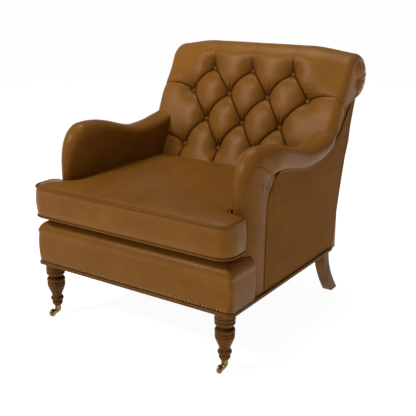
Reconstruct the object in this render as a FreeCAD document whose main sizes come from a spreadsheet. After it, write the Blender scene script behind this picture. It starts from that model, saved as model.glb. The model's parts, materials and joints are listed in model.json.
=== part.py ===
"""Buttoned leather armchair with a scroll back, a loose T cushion and front casters.

Millimetres, +Z up, the chair faces -Y.  The origin is at floor level under the middle of the
chair.  Places along the depth are named from the front face of the base, going back.
"""
import FreeCAD, Part
import Sketcher
import math
import os
from types import SimpleNamespace

Vector = FreeCAD.Vector
doc = FreeCAD.newDocument("Armchair")

SIZES = {
    # Base and its border
    "base_width": 760, "base_depth": 668, "base_underside": 188, "deck_height": 342,
    "border_depth": 133, "border_round": 40, "border_corner": 9, "hide": 2.5, "panel_thickness": 3,
    # Seat frame
    "frame_inset": 10, "rail_thickness": 32, "rail_height": 75, "block_side": 44, "block_height": 58,
    "screw_radius": 2.5, "screw_length": 62, "screw_head_radius": 5, "screw_head_height": 3,
    "bolt_radius": 4, "bolt_in_frame": 50, "bolt_in_leg": 40, "dust_cover_thickness": 1,
    # Front legs
    "leg_side_inset": 38, "leg_front_inset": 30, "leg_ring_radius": 29.5, "leg_neck_radius": 21.2,
    "leg_vase_radius": 28.5, "leg_ankle_radius": 16.5, "leg_end_radius": 11, "leg_ring_height": 11,
    "leg_swell": 2, "leg_end_height": 36, "foot_ring_height": 10, "foot_bead_height": 18,
    "foot_bead_swell": 4.8, "vase_height": 41, "shoulder_height": 13, "bead_height": 15,
    # Rear legs
    "rear_leg_width": 36, "rear_leg_depth": 48, "rear_leg_side_inset": 4, "rear_leg_splay": 119,
    "rear_leg_lean": 15, "rear_leg_curve": 24, "glide_height": 3, "glide_radius": 15,
    "leg_clearance": 2,
    # Casters
    "tenon_radius": 8.5, "tenon_length": 12, "socket_floor": 4, "wheel_radius": 13.5,
    "wheel_width": 10, "wheel_trail": 26, "axle_radius": 2.5, "pivot_radius": 2.5, "running_fit": 0.05,
    "cheek_thickness": 2.5, "cheek_gap": 0.4, "horn_drop": 4.2, "swivel_gap": 0.3, "boss_radius": 5.5,
    # Suspension
    "spring_wire": 3.6, "spring_width": 44, "spring_pitch": 36, "spring_count": 5, "clip_height": 1,
    "cloth_thickness": 1,
    # Arms
    "arm_inner": 300, "arm_outer": 389, "arm_setback": 92, "arm_front_height": 478,
    "arm_crown_back": 190, "arm_crown_height": 645, "arm_dip_back": 478, "arm_dip_height": 594,
    "arm_rear_height": 622, "arm_roll_height": 78, "arm_dip_lag": 1.25, "arm_nose_length": 78,
    "facing_back": 192, "arm_post_back": 140,
    "arm_post_depth": 35, "arm_rail_height": 22, "arm_rail_level": 545,
    # Back
    "back_foot": 526, "back_hollow_radius": 3000, "post_width": 35, "post_depth": 45,
    "post_inset": 6, "back_rail_height": 45, "back_rail_ease": 11, "back_rail_depth": 30,
    "tuft_depth": 37, "tuft_base": 6, "tuft_foot": 4, "arm_ease": 0.8,
    "button_radius": 9, "button_height": 6, "button_first_height": 503.5, "button_rise": 95.5,
    "button_top_rise": 83, "button_spacing": 152, "button_spread": 0.0496, "pleat_gap": 1.5,
    "web_width": 50, "web_thickness": 1.5,
    # Scroll
    "scroll_back": 809, "scroll_height": 797, "scroll_radius": 82, "scroll_front": 84,
    "scroll_pleat_depth": 6, "scroll_end_back": 824, "scroll_end_height": 778, "scroll_end_radius": 70,
    "scroll_button_angle": 49, "scroll_rail_side": 45,
    # Cushion
    "cushion_nose": 20, "cushion_ear_depth": 106, "cushion_boxing": 106, "cushion_crown": 20,
    "cushion_corner": 44, "cushion_ear_corner": 24, "cushion_notch": 12, "cushion_draw_in": 4,
    "cushion_clearance": 0.8, "cushion_wall": 5, "welt_height": 8, "zip_width": 22, "zip_length": 360,
    # Trim
    "bead_radius": 2.8, "nail_radius": 5.5, "nail_height": 2.5, "nail_pitch": 12.4, "nail_level": 14.5,
    "arm_welt_radius": 2.5,
}

sheet = doc.addObject("Spreadsheet::Sheet", "Sizes")
for row, (alias, number) in enumerate(SIZES.items(), start=1):
    sheet.set(f"A{row}", alias.replace("_", " "))
    sheet.set(f"B{row}", str(number))
    sheet.setAlias(f"B{row}", alias)
doc.recompute()


class Size:
    """A length with its value and the sheet expression that it comes from."""

    def __init__(self, value, text):
        self.value = float(value)
        self.text = text

    def __add__(self, other):
        other = sized(other)
        return Size(self.value + other.value, f"({self.text} + {other.text})")

    def __sub__(self, other):
        other = sized(other)
        return Size(self.value - other.value, f"({self.text} - {other.text})")

    def __mul__(self, other):
        other = sized(other)
        return Size(self.value * other.value, f"({self.text} * {other.text})")

    def __truediv__(self, other):
        other = sized(other)
        return Size(self.value / other.value, f"({self.text} / {other.text})")

    def __neg__(self):
        return Size(-self.value, f"(-1 * {self.text})")

    def __radd__(self, other):
        return sized(other) + self

    def __rsub__(self, other):
        return sized(other) - self

    def __rmul__(self, other):
        return sized(other) * self

    def __float__(self):
        return self.value


def sized(number):
    """A Size for a plain number, or the Size itself."""
    return number if isinstance(number, Size) else Size(number, repr(float(number)))


size = SimpleNamespace(**{alias: Size(sheet.get(alias), f"Sizes.{alias}") for alias in SIZES})

# Levels and places that several pieces share
half_width = size.base_width / 2
scroll_rear = size.scroll_end_back + size.scroll_end_radius
front = -(scroll_rear - size.cushion_nose) / 2
frame_bottom = size.base_underside + size.dust_cover_thickness
frame_top = frame_bottom + size.rail_height
frame_half = half_width - size.frame_inset
rail_inner = frame_half - size.rail_thickness
spring_level = frame_top + size.clip_height + size.spring_wire / 2
cloth_bottom = spring_level + size.spring_wire / 2
pad_bottom = cloth_bottom + size.cloth_thickness
deck_underside = size.deck_height - size.hide
flank = half_width - size.panel_thickness
scroll_foot = size.scroll_height - size.scroll_radius

pieces = {}


def depth(distance):
    """The place along Y of something this far behind the front face of the base."""
    return front + distance


def bind(thing, **lengths):
    """Give properties their values and tie them to the sheet."""
    for name, length in lengths.items():
        setattr(thing, name, sized(length).value)
        thing.setExpression(name, sized(length).text)


def place(thing, corner, rotation=None):
    """Put a piece at a corner whose three coordinates are tied to the sheet."""
    corner = [sized(value) for value in corner]
    base = Vector(*[value.value for value in corner])
    thing.Placement = FreeCAD.Placement(base, rotation or FreeCAD.Rotation())
    for axis, value in zip("xyz", corner):
        thing.setExpression(f"Placement.Base.{axis}", value.text)


def keep(name, thing):
    """Name a finished piece; its name is its file's name."""
    thing.Label = name
    pieces[name] = thing
    return thing


def block(name, corner, span):
    """A squared piece from its lowest corner and its spans along X, Y and Z."""
    thing = doc.addObject("Part::Box", name)
    bind(thing, Length=span[0], Width=span[1], Height=span[2])
    place(thing, corner)
    return thing


TURNS = {"x": FreeCAD.Rotation(Vector(0, 1, 0), 90), "y": FreeCAD.Rotation(Vector(1, 0, 0), -90), "z": None}


def rod(name, start, radius, length, along="z"):
    """A round piece that runs from its start along one axis."""
    thing = doc.addObject("Part::Cylinder", name)
    bind(thing, Radius=radius, Height=length)
    place(thing, start, TURNS[along])
    return thing


def join(name, things, kind="Part::MultiFuse"):
    thing = doc.addObject(kind, name)
    if kind == "Part::Compound":
        thing.Links = things
    else:
        thing.Shapes = things
    return thing


def cut(name, base, tools):
    """A piece with others cut out of it."""
    for number, tool in enumerate(tools):
        last = number == len(tools) - 1
        thing = doc.addObject("Part::Cut", name if last else f"{name}_{number}")
        thing.Base = base
        thing.Tool = tool
        base = thing
    return base


def formed(name, shape):
    """A piece whose shape is built from edges, wires and lofts."""
    thing = doc.addObject("Part::Feature", name)
    thing.Shape = shape
    return thing


def outline(body, plane_role, points, name="Outline"):
    """A closed, fully tied sketch.  A point is (across, up) or (across, up, radius): the edge that
    leaves it is a line, or an arc of that radius that swells to the right of the way."""
    sketch = body.newObject("Sketcher::SketchObject", name)
    plane = [thing for thing in body.Origin.OriginFeatures if thing.Role == plane_role][0]
    sketch.AttachmentSupport = [(plane, "")]
    sketch.MapMode = "FlatFace"
    corners = [(sized(point[0]), sized(point[1])) for point in points]
    ends = []
    for number, point in enumerate(points):
        start = Vector(corners[number][0].value, corners[number][1].value, 0)
        following = corners[(number + 1) % len(points)]
        stop = Vector(following[0].value, following[1].value, 0)
        if len(point) == 2:
            geometry = sketch.addGeometry(Part.LineSegment(start, stop), False)
            ends.append((geometry, 1, 2))
            continue
        radius = sized(point[2])
        swell = abs(radius.value)
        chord = stop - start
        rise = math.sqrt(swell ** 2 - (chord.Length / 2) ** 2)
        left = Vector(-chord.y, chord.x, 0).normalize()
        side = 1 if radius.value > 0 else -1
        centre = (start + stop) / 2 + left * rise * side
        angles = [math.atan2(end.y - centre.y, end.x - centre.x) for end in (start, stop)]
        if side < 0:
            angles.reverse()
        if angles[1] < angles[0]:
            angles[1] += 2 * math.pi
        circle = Part.Circle(centre, Vector(0, 0, 1), swell)
        geometry = sketch.addGeometry(Part.ArcOfCircle(circle, angles[0], angles[1]), False)
        ends.append((geometry, 1, 2) if side > 0 else (geometry, 2, 1))
        tie = sketch.addConstraint(Sketcher.Constraint("Radius", geometry, swell))
        sketch.setExpression(f"Constraints[{tie}]", radius.text if side > 0 else (-radius).text)
    for number, (geometry, first, last) in enumerate(ends):
        following = ends[(number + 1) % len(ends)]
        sketch.addConstraint(Sketcher.Constraint("Coincident", geometry, last, following[0], following[1]))
        for kind, value in zip(("DistanceX", "DistanceY"), corners[number]):
            tie = sketch.addConstraint(Sketcher.Constraint(kind, -1, 1, geometry, first, value.value))
            sketch.setExpression(f"Constraints[{tie}]", value.text)
    return sketch


def turned(name, points, centre):
    """A piece turned about an upright axis, from half of its outline."""
    body = doc.addObject("PartDesign::Body", name)
    sketch = outline(body, "XZ_Plane", points)
    spin = body.newObject("PartDesign::Revolution", name + "_turned")
    spin.Profile = sketch
    spin.ReferenceAxis = (sketch, ["V_Axis"])
    spin.Angle = 360
    place(body, centre)
    return body


def sawn(name, points, left, width):
    """A piece sawn to an outline of (depth, height), from its left face and its width."""
    body = doc.addObject("PartDesign::Body", name)
    sketch = outline(body, "YZ_Plane", points)
    pad = body.newObject("PartDesign::Pad", name + "_sawn")
    pad.Profile = sketch
    bind(pad, Length=width)
    place(body, (left, 0, 0))
    return body


def swell_radius(height, swell):
    """The radius of an arc that spans this height and stands this far proud of it."""
    return height * height / (swell * 8) + swell / 2


def tube(path, radius):
    """A round tube along a wire of lines and arcs that meet smoothly."""
    edge = path.OrderedEdges[0]
    start = edge.firstVertex().Point
    if (path.OrderedVertexes[0].Point - start).Length > 1e-6:
        start = edge.lastVertex().Point
    along = edge.tangentAt(edge.FirstParameter)
    ring = Part.Wire(Part.makeCircle(radius, start, along))
    return path.makePipeShell([ring], True, False)


def smooth_path(points, radii):
    """A wire through points, each inner corner turned by a tangent arc of its radius."""
    edges = []
    last = points[0]
    for number in range(1, len(points) - 1):
        corner = points[number]
        back = (points[number - 1] - corner).normalize()
        ahead = (points[number + 1] - corner).normalize()
        turn = math.pi - back.getAngle(ahead)
        reach = radii[number - 1] * math.tan(turn / 2)
        middle = (back + ahead).normalize()
        offset = radii[number - 1] * (1 / math.cos(turn / 2) - 1)
        start = corner + back * reach
        stop = corner + ahead * reach
        edges.append(Part.LineSegment(last, start).toShape())
        edges.append(Part.Arc(start, corner + middle * offset, stop).toShape())
        last = stop
    edges.append(Part.LineSegment(last, points[-1]).toShape())
    return Part.Wire(edges)


SIDES = {"left": -1, "right": 1}


def from_side(sign, inner, outer):
    """The lowest X and the span of a piece between two distances from the middle."""
    return (inner if sign > 0 else -outer), outer - inner


# Seat frame

rear_low = Vector(size.base_depth.value, size.base_underside.value, 0)
rear_high = Vector((size.scroll_back - size.panel_thickness).value, scroll_foot.value, 0)
rear_chord = rear_high - rear_low
hollow = size.back_hollow_radius.value
hollow_middle = (rear_low + rear_high) / 2 + (Vector(rear_chord.y, -rear_chord.x, 0).normalize()
                                              * math.sqrt(hollow ** 2 - (rear_chord.Length / 2) ** 2))


def rear_edge(height):
    """How far back the outside back lies at a height, as a plain number."""
    return hollow_middle.x - math.sqrt(hollow ** 2 - (height - hollow_middle.y) ** 2)


scroll_rail_low = size.scroll_height - size.scroll_rail_side / 2
back_slope = (size.scroll_back - size.panel_thickness - size.base_depth) / (scroll_foot - size.base_underside)
post_top_back = size.base_depth + back_slope * (scroll_rail_low - size.base_underside)


def back_layer(inset, thickness, low, low_back, high, high_back):
    """An outline that follows the hollow of the outside back, a layer this far inside it."""
    return [
        (depth(low_back - inset), low, -size.back_hollow_radius),
        (depth(high_back - inset), high),
        (depth(high_back - inset - thickness), high, size.back_hollow_radius),
        (depth(low_back - inset - thickness), low),
    ]


posts = {}
for side, sign in SIDES.items():
    left, width = from_side(sign, frame_half - size.post_width, frame_half)
    post_outline = back_layer(size.panel_thickness + size.post_inset, size.post_depth,
                              frame_bottom, size.base_depth, scroll_rail_low, post_top_back)
    posts[side] = sawn(f"{side}_back_post", post_outline, left, width)
    keep(f"{side}_back_post", posts[side])

post_front = size.base_depth - size.panel_thickness - size.post_inset - size.post_depth
rear_rail_front = post_front + 6
bolt_places = {}
for side, sign in SIDES.items():
    bolt_places[f"front_{side}"] = (sign * (half_width - size.leg_side_inset), size.leg_front_inset)
    rear_middle = half_width - size.rear_leg_side_inset - size.rear_leg_width / 2
    bolt_places[f"rear_{side}"] = (sign * rear_middle, post_front + size.post_depth / 2)

bolts = []
for corner, (across, back) in bolt_places.items():
    start = (across, depth(back), frame_bottom - size.bolt_in_leg)
    bolts.append(rod(f"bolt_{corner}", start, size.bolt_radius, size.bolt_in_leg + size.bolt_in_frame))
leg_bolts = keep("leg_bolts", join("leg_bolts", bolts, "Part::Compound"))

blocks = []
screws = []
for side, sign in SIDES.items():
    for end, rail_face in (("front", size.frame_inset + size.rail_thickness), ("rear", rear_rail_front)):
        outer = frame_half - size.post_width if end == "rear" else rail_inner
        left, width = from_side(sign, outer - size.block_side, outer)
        near = rail_face if end == "front" else rail_face - size.block_side
        blocks.append(block(f"block_{side}_{end}", (left, depth(near), frame_bottom),
                            (width, size.block_side, size.block_height)))
        middle_x = sign * (outer - size.block_side / 2)
        level = frame_bottom + size.block_height / 2
        inward = rail_face + size.block_side if end == "front" else rail_face - size.block_side
        shank_start = inward - size.screw_length if end == "front" else inward
        head_start = inward if end == "front" else inward - size.screw_head_height
        screws.append(join(f"screw_{side}_{end}", [
            rod(f"shank_{side}_{end}", (middle_x, depth(shank_start), level),
                size.screw_radius, size.screw_length, "y"),
            rod(f"head_{side}_{end}", (middle_x, depth(head_start), level),
                size.screw_head_radius, size.screw_head_height, "y"),
        ]))
block_screws = keep("corner_block_screws", join("corner_block_screws", screws, "Part::Compound"))
keep("corner_blocks", cut("corner_blocks", join("blocks_sawn", blocks, "Part::Compound"), [block_screws]))

front_rail = block("front_rail_sawn", (-frame_half, depth(size.frame_inset), frame_bottom),
                   (frame_half * 2, size.rail_thickness, size.rail_height))
keep("front_seat_rail", cut("front_seat_rail", front_rail, [block_screws, leg_bolts]))
post_inner = frame_half - size.post_width
rear_rail = block("rear_rail_sawn", (-post_inner, depth(rear_rail_front), frame_bottom),
                  (post_inner * 2, size.rail_thickness, size.rail_height))
keep("rear_seat_rail", cut("rear_seat_rail", rear_rail, [block_screws]))
side_rail_front = size.frame_inset + size.rail_thickness
for side, sign in SIDES.items():
    left, width = from_side(sign, rail_inner, frame_half)
    reach = post_front + size.post_depth - side_rail_front
    rail = block(f"{side}_rail_sawn", (left, depth(side_rail_front), frame_bottom),
                 (width, reach, size.rail_height))
    keep(f"{side}_seat_rail", cut(f"{side}_seat_rail", rail, [posts[side], leg_bolts]))
    pieces[f"{side}_back_post"] = cut(f"{side}_post_drilled", posts[side], [leg_bolts])
    pieces[f"{side}_back_post"].Label = f"{side}_back_post"
    posts[side].Label = f"{side}_post_sawn"

arm_posts = {}
arm_rails = []
for side, sign in SIDES.items():
    left, width = from_side(sign, rail_inner, frame_half)
    arm_posts[side] = block(f"{side}_arm_post", (left, depth(size.arm_post_back), frame_top),
                            (width, size.arm_post_depth, size.arm_rail_level - frame_top))
    rail = block(f"{side}_arm_rail_sawn", (left, depth(size.arm_post_back), size.arm_rail_level),
                 (width, size.base_depth - size.arm_post_back + size.post_depth, size.arm_rail_height))
    arm_rails.append(cut(f"{side}_arm_rail", rail, [posts[side]]))
keep("arm_posts", join("arm_posts", list(arm_posts.values()), "Part::Compound"))
keep("arm_rails", join("arm_rails", arm_rails, "Part::Compound"))


# Legs

def front_leg(name, centre):
    """A turned leg: foot rings, a tapering vase, a bead, a neck and three rings under the rail."""
    swell = size.leg_swell
    foot = size.leg_end_height
    foot_ring = foot + (size.leg_ankle_radius - size.leg_end_radius)
    foot_bead = foot_ring + size.foot_ring_height
    vase = foot_bead + size.foot_bead_height
    shoulder = vase + size.vase_height
    bead = shoulder + size.shoulder_height
    neck = bead + size.bead_height
    top = frame_bottom
    rings = top - size.leg_ring_height * 3
    ring_swell = swell_radius(size.leg_ring_height, swell)
    points = [
        (0, foot - size.tenon_length), (size.tenon_radius, foot - size.tenon_length),
        (size.tenon_radius, foot), (size.leg_end_radius, foot),
        (size.leg_ankle_radius - 1, foot_ring, swell_radius(size.foot_ring_height, swell)),
        (size.leg_ankle_radius - 1, foot_bead), (size.leg_ankle_radius, foot_bead,
                                                 swell_radius(size.foot_bead_height, size.foot_bead_swell)),
        (size.leg_ankle_radius, vase),
        (size.leg_vase_radius, shoulder, swell_radius(size.shoulder_height, swell)),
        (size.leg_vase_radius, bead, swell_radius(size.bead_height, swell * 2)),
        (size.leg_neck_radius, neck),
        (size.leg_ring_radius - 3, rings),
    ]
    points += [(size.leg_ring_radius, rings + size.leg_ring_height * number, ring_swell) for number in range(3)]
    points += [(size.leg_ring_radius, top), (0, top)]
    return turned(name, points, centre)


def rear_leg(name, sign):
    """A square leg that curves back and leans in towards the floor."""
    rings = []
    top = frame_bottom.value
    low = size.glide_height.value
    start_back = bolt_places["rear_right"][1].value
    for number in range(5):
        share = number / 4
        height = top + (low - top) * share
        middle = abs(bolt_places["rear_right"][0].value) - size.rear_leg_lean.value * share
        back = start_back + size.rear_leg_splay.value * share
        back -= size.rear_leg_curve.value * share * (1 - share)
        halves = (size.rear_leg_width.value / 2, size.rear_leg_depth.value / 2)
        corners = [Vector(sign * middle + across * halves[0], front.value + back + along * halves[1], height)
                   for across, along in ((-1, -1), (1, -1), (1, 1), (-1, 1), (-1, -1))]
        rings.append(Part.makePolygon(corners))
    return formed(name, Part.makeLoft(rings, True, False))


for side, sign in SIDES.items():
    centre_x = bolt_places[f"front_{side}"][0]
    leg = front_leg(f"{side}_leg_turned", (centre_x, depth(size.leg_front_inset), 0))
    keep(f"front_{side}_leg", cut(f"front_{side}_leg", leg, [leg_bolts]))
    sabre = rear_leg(f"{side}_leg_sawn", sign)
    keep(f"rear_{side}_leg", cut(f"rear_{side}_leg", sabre, [leg_bolts]))

glides = []
for side, sign in SIDES.items():
    foot_x = sign * (bolt_places["rear_right"][0] - size.rear_leg_lean)
    foot_back = bolt_places["rear_right"][1] + size.rear_leg_splay
    glides.append(rod(f"glide_{side}", (foot_x, depth(foot_back), 0), size.glide_radius, size.glide_height))
keep("rear_glides", join("rear_glides", glides, "Part::Compound"))


# Casters

socket_bottom = size.leg_end_height - size.tenon_length - size.socket_floor
horn_top = socket_bottom - size.swivel_gap
horn_bottom = horn_top - size.horn_drop
cheek_inner = size.wheel_width / 2 + size.cheek_gap
hub_radius = cheek_inner + size.cheek_thickness
for side, sign in SIDES.items():
    across = bolt_places[f"front_{side}"][0]
    pivot_y = depth(size.leg_front_inset)
    axle_y = pivot_y - size.wheel_trail
    cup = rod(f"{side}_cup", (across, pivot_y, socket_bottom), size.leg_end_radius,
              size.tenon_length + size.socket_floor)
    cup_bore = rod(f"{side}_cup_bore", (across, pivot_y, socket_bottom + size.socket_floor),
                   size.tenon_radius, size.tenon_length)
    pin_bore = rod(f"{side}_pin_bore", (across, pivot_y, socket_bottom),
                   size.pivot_radius + size.running_fit, size.socket_floor)
    keep(f"{side}_caster_socket", cut(f"{side}_caster_socket", cup, [cup_bore, pin_bore]))

    axle_length = (hub_radius + 1) * 2
    axle = rod(f"{side}_caster_axle", (across - hub_radius - 1, axle_y, size.wheel_radius),
               size.axle_radius, axle_length, "x")
    keep(f"{side}_caster_axle", axle)
    hub = rod(f"{side}_hub", (across, pivot_y, horn_bottom), hub_radius, size.horn_drop)
    pin = rod(f"{side}_pin", (across, pivot_y, horn_top), size.pivot_radius,
              size.swivel_gap + size.socket_floor - 0.2)
    horn_parts = [hub, pin]
    for face, low in (("in", -hub_radius), ("out", cheek_inner)):
        plate_low = size.wheel_radius - size.boss_radius / 2
        horn_parts.append(block(f"{side}_cheek_{face}", (across + low, axle_y, plate_low),
                                (size.cheek_thickness, size.wheel_trail, horn_top - plate_low)))
        horn_parts.append(rod(f"{side}_boss_{face}", (across + low, axle_y, size.wheel_radius),
                              size.boss_radius, size.cheek_thickness, "x"))
    horn = join(f"{side}_horn_cast", horn_parts)
    keep(f"{side}_caster_horn", cut(f"{side}_caster_horn", horn, [axle]))
    tyre = rod(f"{side}_tyre", (across - size.wheel_width / 2, axle_y, size.wheel_radius),
               size.wheel_radius, size.wheel_width, "x")
    bore = rod(f"{side}_wheel_bore", (across - size.wheel_width / 2, axle_y, size.wheel_radius),
               size.axle_radius + size.running_fit, size.wheel_width, "x")
    keep(f"{side}_caster_wheel", cut(f"{side}_caster_wheel", tyre, [bore]))


# Suspension

def seat_spring(middle_x):
    """A zigzag wire from the front rail to the rear rail, in half turns joined by straights."""
    start = front.value + size.frame_inset.value + size.rail_thickness.value / 2
    stop = front.value + rear_rail_front.value + size.rail_thickness.value / 2
    turns = int((stop - start) / (size.spring_pitch.value / 2)) // 2 * 2
    step = (stop - start) / turns
    radius = step / 2
    straight = size.spring_width.value / 2 - radius
    level = spring_level.value
    edges = [Part.LineSegment(Vector(middle_x, start, level),
                              Vector(middle_x + straight, start, level)).toShape()]
    heading = 1
    for number in range(turns):
        low = start + step * number
        edge_x = middle_x + heading * straight
        edges.append(Part.Arc(Vector(edge_x, low, level),
                              Vector(edge_x + heading * radius, low + radius, level),
                              Vector(edge_x, low + step, level)).toShape())
        heading = -heading
        end_x = middle_x if number == turns - 1 else middle_x + heading * straight
        edges.append(Part.LineSegment(Vector(edge_x, low + step, level),
                                      Vector(end_x, low + step, level)).toShape())
    return tube(Part.Wire(edges), size.spring_wire.value / 2)


spring_room = (rail_inner.value - size.block_side.value) * 2
spring_number = int(size.spring_count.value)
spring_places = [spring_room * ((number + 0.5) / spring_number - 0.5) for number in range(spring_number)]
keep("seat_springs", formed("seat_springs", Part.makeCompound([seat_spring(place_x)
                                                               for place_x in spring_places])))
clips = []
for number, place_x in enumerate(spring_places):
    for end, back in (("front", size.frame_inset), ("rear", rear_rail_front)):
        clips.append(block(f"clip_{number}_{end}", (place_x - size.spring_width / 2, depth(back + 4), frame_top),
                           (size.spring_width, size.rail_thickness - 8, size.clip_height)))
keep("spring_clips", join("spring_clips", clips, "Part::Compound"))

seat_back = post_front - 2
keep("spring_cloth", block("spring_cloth", (-rail_inner, depth(size.frame_inset), cloth_bottom),
                           (rail_inner * 2, seat_back - size.frame_inset, size.cloth_thickness)))
timber = [arm_posts["left"], arm_posts["right"]]
deck_pad = block("deck_pad_cut", (-flank, depth(size.border_depth), pad_bottom),
                 (flank * 2, seat_back - size.border_depth, deck_underside - pad_bottom))
keep("deck_pad", cut("deck_pad", deck_pad, timber))
deck_cover = block("deck_cover_cut", (-flank, depth(size.border_depth), deck_underside),
                   (flank * 2, seat_back - size.border_depth, size.hide))
keep("deck_cover", cut("deck_cover", deck_cover, timber))


# Front border

def border_form(inset, reach):
    """The rounded block of the border, drawn in by an inset, open behind and below."""
    half = half_width.value - inset
    low = size.base_underside.value
    height = size.deck_height.value - inset - low
    shape = Part.makeBox(half * 2, reach - inset, height, Vector(-half, front.value + inset, low))
    top = [edge for edge in shape.Edges
           if all(abs(v.Point.z - low - height) < 0.01 for v in edge.Vertexes)
           and edge.CenterOfMass.y < front.value + reach - 1]
    shape = shape.makeFillet(size.border_round.value - inset, top)
    upright = [edge for edge in shape.Edges
               if abs(edge.CenterOfMass.y - front.value - inset) < 0.01
               and abs(abs(edge.CenterOfMass.x) - half) < 0.01]
    return shape.makeFillet(size.border_corner.value - inset, upright)


border_outer = border_form(0, size.border_depth.value)
border_inner = border_form(size.hide.value, size.border_depth.value)
border_skin = border_outer.cut(border_inner)
for side in SIDES:
    border_skin = border_skin.cut(Part.makeCylinder(
        size.leg_ring_radius.value + size.leg_swell.value, size.dust_cover_thickness.value,
        Vector(bolt_places[f"front_{side}"][0].value, depth(size.leg_front_inset).value, size.base_underside.value)))
keep("front_border_cover", formed("front_border_cover", border_skin))
under = Part.makeBox(frame_half.value * 2, size.border_depth.value, pad_bottom.value - size.base_underside.value,
                     Vector(-frame_half.value, front.value + size.frame_inset.value, size.base_underside.value))
ledge = Part.makeBox(size.base_width.value, size.border_depth.value, size.dust_cover_thickness.value,
                     Vector(-half_width.value, front.value, size.base_underside.value))
keep("front_border_pad", formed("front_border_pad", border_inner.cut(under).cut(ledge)))

# Dust cover under the seat, with room for the legs

dust = block("dust_cover_cut", (-frame_half, depth(size.frame_inset), size.base_underside),
             (frame_half * 2, rear_rail_front + size.rail_thickness - size.frame_inset, size.dust_cover_thickness))
leg_holes = []
leg_room = size.leg_side_inset + size.leg_ring_radius + size.leg_swell + size.leg_clearance
rear_leg_room = size.rear_leg_side_inset + size.rear_leg_width + size.leg_clearance
for side, sign in SIDES.items():
    for end, room, back in (("front", leg_room, 0), ("rear", rear_leg_room, post_front - size.leg_clearance)):
        left, width = from_side(sign, half_width - room, half_width)
        leg_holes.append(block(f"gap_{side}_{end}", (left, depth(back), size.base_underside),
                               (width, leg_room, size.dust_cover_thickness)))
keep("dust_cover", cut("dust_cover", dust, leg_holes))


# Arms

def arm_top(back):
    """The height of the top of the arm at a distance behind the base's front face."""
    crown = size.arm_crown_back.value
    if back < crown:
        share = (crown - back) / (crown - size.arm_setback.value)
        return (size.arm_front_height.value + (size.arm_crown_height.value - size.arm_front_height.value)
                * (1 - min(share, 1) ** 2.5) ** 0.4)
    dip = size.arm_dip_back.value
    if back < dip:
        share = (back - crown) / (dip - crown)
        blend = (1 - math.cos(math.pi * share ** size.arm_dip_lag.value)) / 2
        return size.arm_crown_height.value + (size.arm_dip_height.value - size.arm_crown_height.value) * blend
    share = min((back - dip) / (size.base_depth.value - dip), 1)
    return size.arm_dip_height.value + (size.arm_rear_height.value - size.arm_dip_height.value) * share ** 2


def arm_seam(back):
    """The height of the seam under the roll of the arm."""
    return arm_top(back) - size.arm_roll_height.value


def arm_section(back, inset, sign):
    """One upright section across an arm: flank, roll and inner face."""
    inner_full = size.arm_inner.value + inset
    outer_full = size.arm_outer.value - inset
    low_outer = flank.value - inset
    share = min((back - size.arm_setback.value) / size.arm_nose_length.value, 1)
    fullness = math.sqrt(1 - (1 - share) ** 2)
    middle = (inner_full + low_outer) / 2
    lean = 0.25 + 0.75 * fullness
    inner = middle + (inner_full - middle) * lean
    flank_x = middle + (low_outer - middle) * lean
    bulge = middle + (outer_full - middle) * lean
    top = arm_top(back) - inset
    seam = min(arm_seam(back), top - size.arm_roll_height.value * 0.8)
    low = size.deck_height.value
    widest = seam + (top - seam) * 0.5
    crown_x = (inner + bulge) / 2
    y = front.value + back

    def at(x, z):
        return Vector(sign * x, y, z)

    outer_mid = at(crown_x + (bulge - crown_x) * 0.74, widest + (top - widest) * 0.7)
    inner_mid = at(crown_x - (crown_x - inner) * 0.74, widest + (top - widest) * 0.7)
    edges = [
        Part.LineSegment(at(flank_x, low), at(flank_x, seam)),
        Part.Arc(at(flank_x, seam), at(bulge - (bulge - flank_x) * 0.2, seam + (widest - seam) * 0.45),
                 at(bulge, widest)),
        Part.Arc(at(bulge, widest), outer_mid, at(crown_x, top)),
        Part.Arc(at(crown_x, top), inner_mid, at(inner, widest)),
        Part.LineSegment(at(inner, widest), at(inner, low)),
        Part.LineSegment(at(inner, low), at(flank_x, low)),
    ]
    return Part.Wire([edge.toShape() for edge in edges])


crest_foot = size.back_foot.value
slope = ((size.scroll_back - size.scroll_front - size.back_foot) / (size.scroll_height - size.deck_height)).value
rake = math.atan(slope)
tuft_run = size.tuft_depth.value / math.cos(rake)


def crest(height):
    """How far back the crest of the inside back lies at a height."""
    return crest_foot + slope * (height - size.deck_height.value)


def behind_back(offset):
    """Everything behind the crest plane pushed back by an offset, as a big block."""
    low = Vector(-size.base_width.value, 0, 0)
    shape = Part.makeBox(size.base_width.value * 2, size.base_width.value, size.base_width.value * 2, low)
    shape.translate(Vector(0, 0, -size.base_width.value))
    shape.rotate(Vector(0, 0, 0), Vector(1, 0, 0), -math.degrees(rake))
    shape.translate(Vector(0, front.value + crest_foot + offset, size.deck_height.value))
    return shape


def arm_form(inset, sign):
    """The stuffed form of an arm, drawn in by an inset."""
    setback = size.arm_setback.value
    crown = size.arm_crown_back.value
    dip = size.arm_dip_back.value
    stations = [setback + inset, setback + 3 + inset, setback + 12, setback + 28, setback + 50, crown - 24,
                crown + 20, (crown + dip) / 2, dip - 60, dip + 40, size.base_depth.value - 60,
                size.base_depth.value + 40]
    rings = [arm_section(back, inset, sign) for back in stations]
    return Part.makeLoft(rings, True, False)


def side_panel(points, sign):
    """A flat panel on the side of the chair, from an outline of (depth, height)."""
    near = sign * flank.value
    corners = [Vector(near, front.value + back, height) for back, height in points]
    face = Part.Face(Part.makePolygon(corners + corners[:1]))
    return face.extrude(Vector(sign * size.panel_thickness.value, 0, 0))


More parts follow.
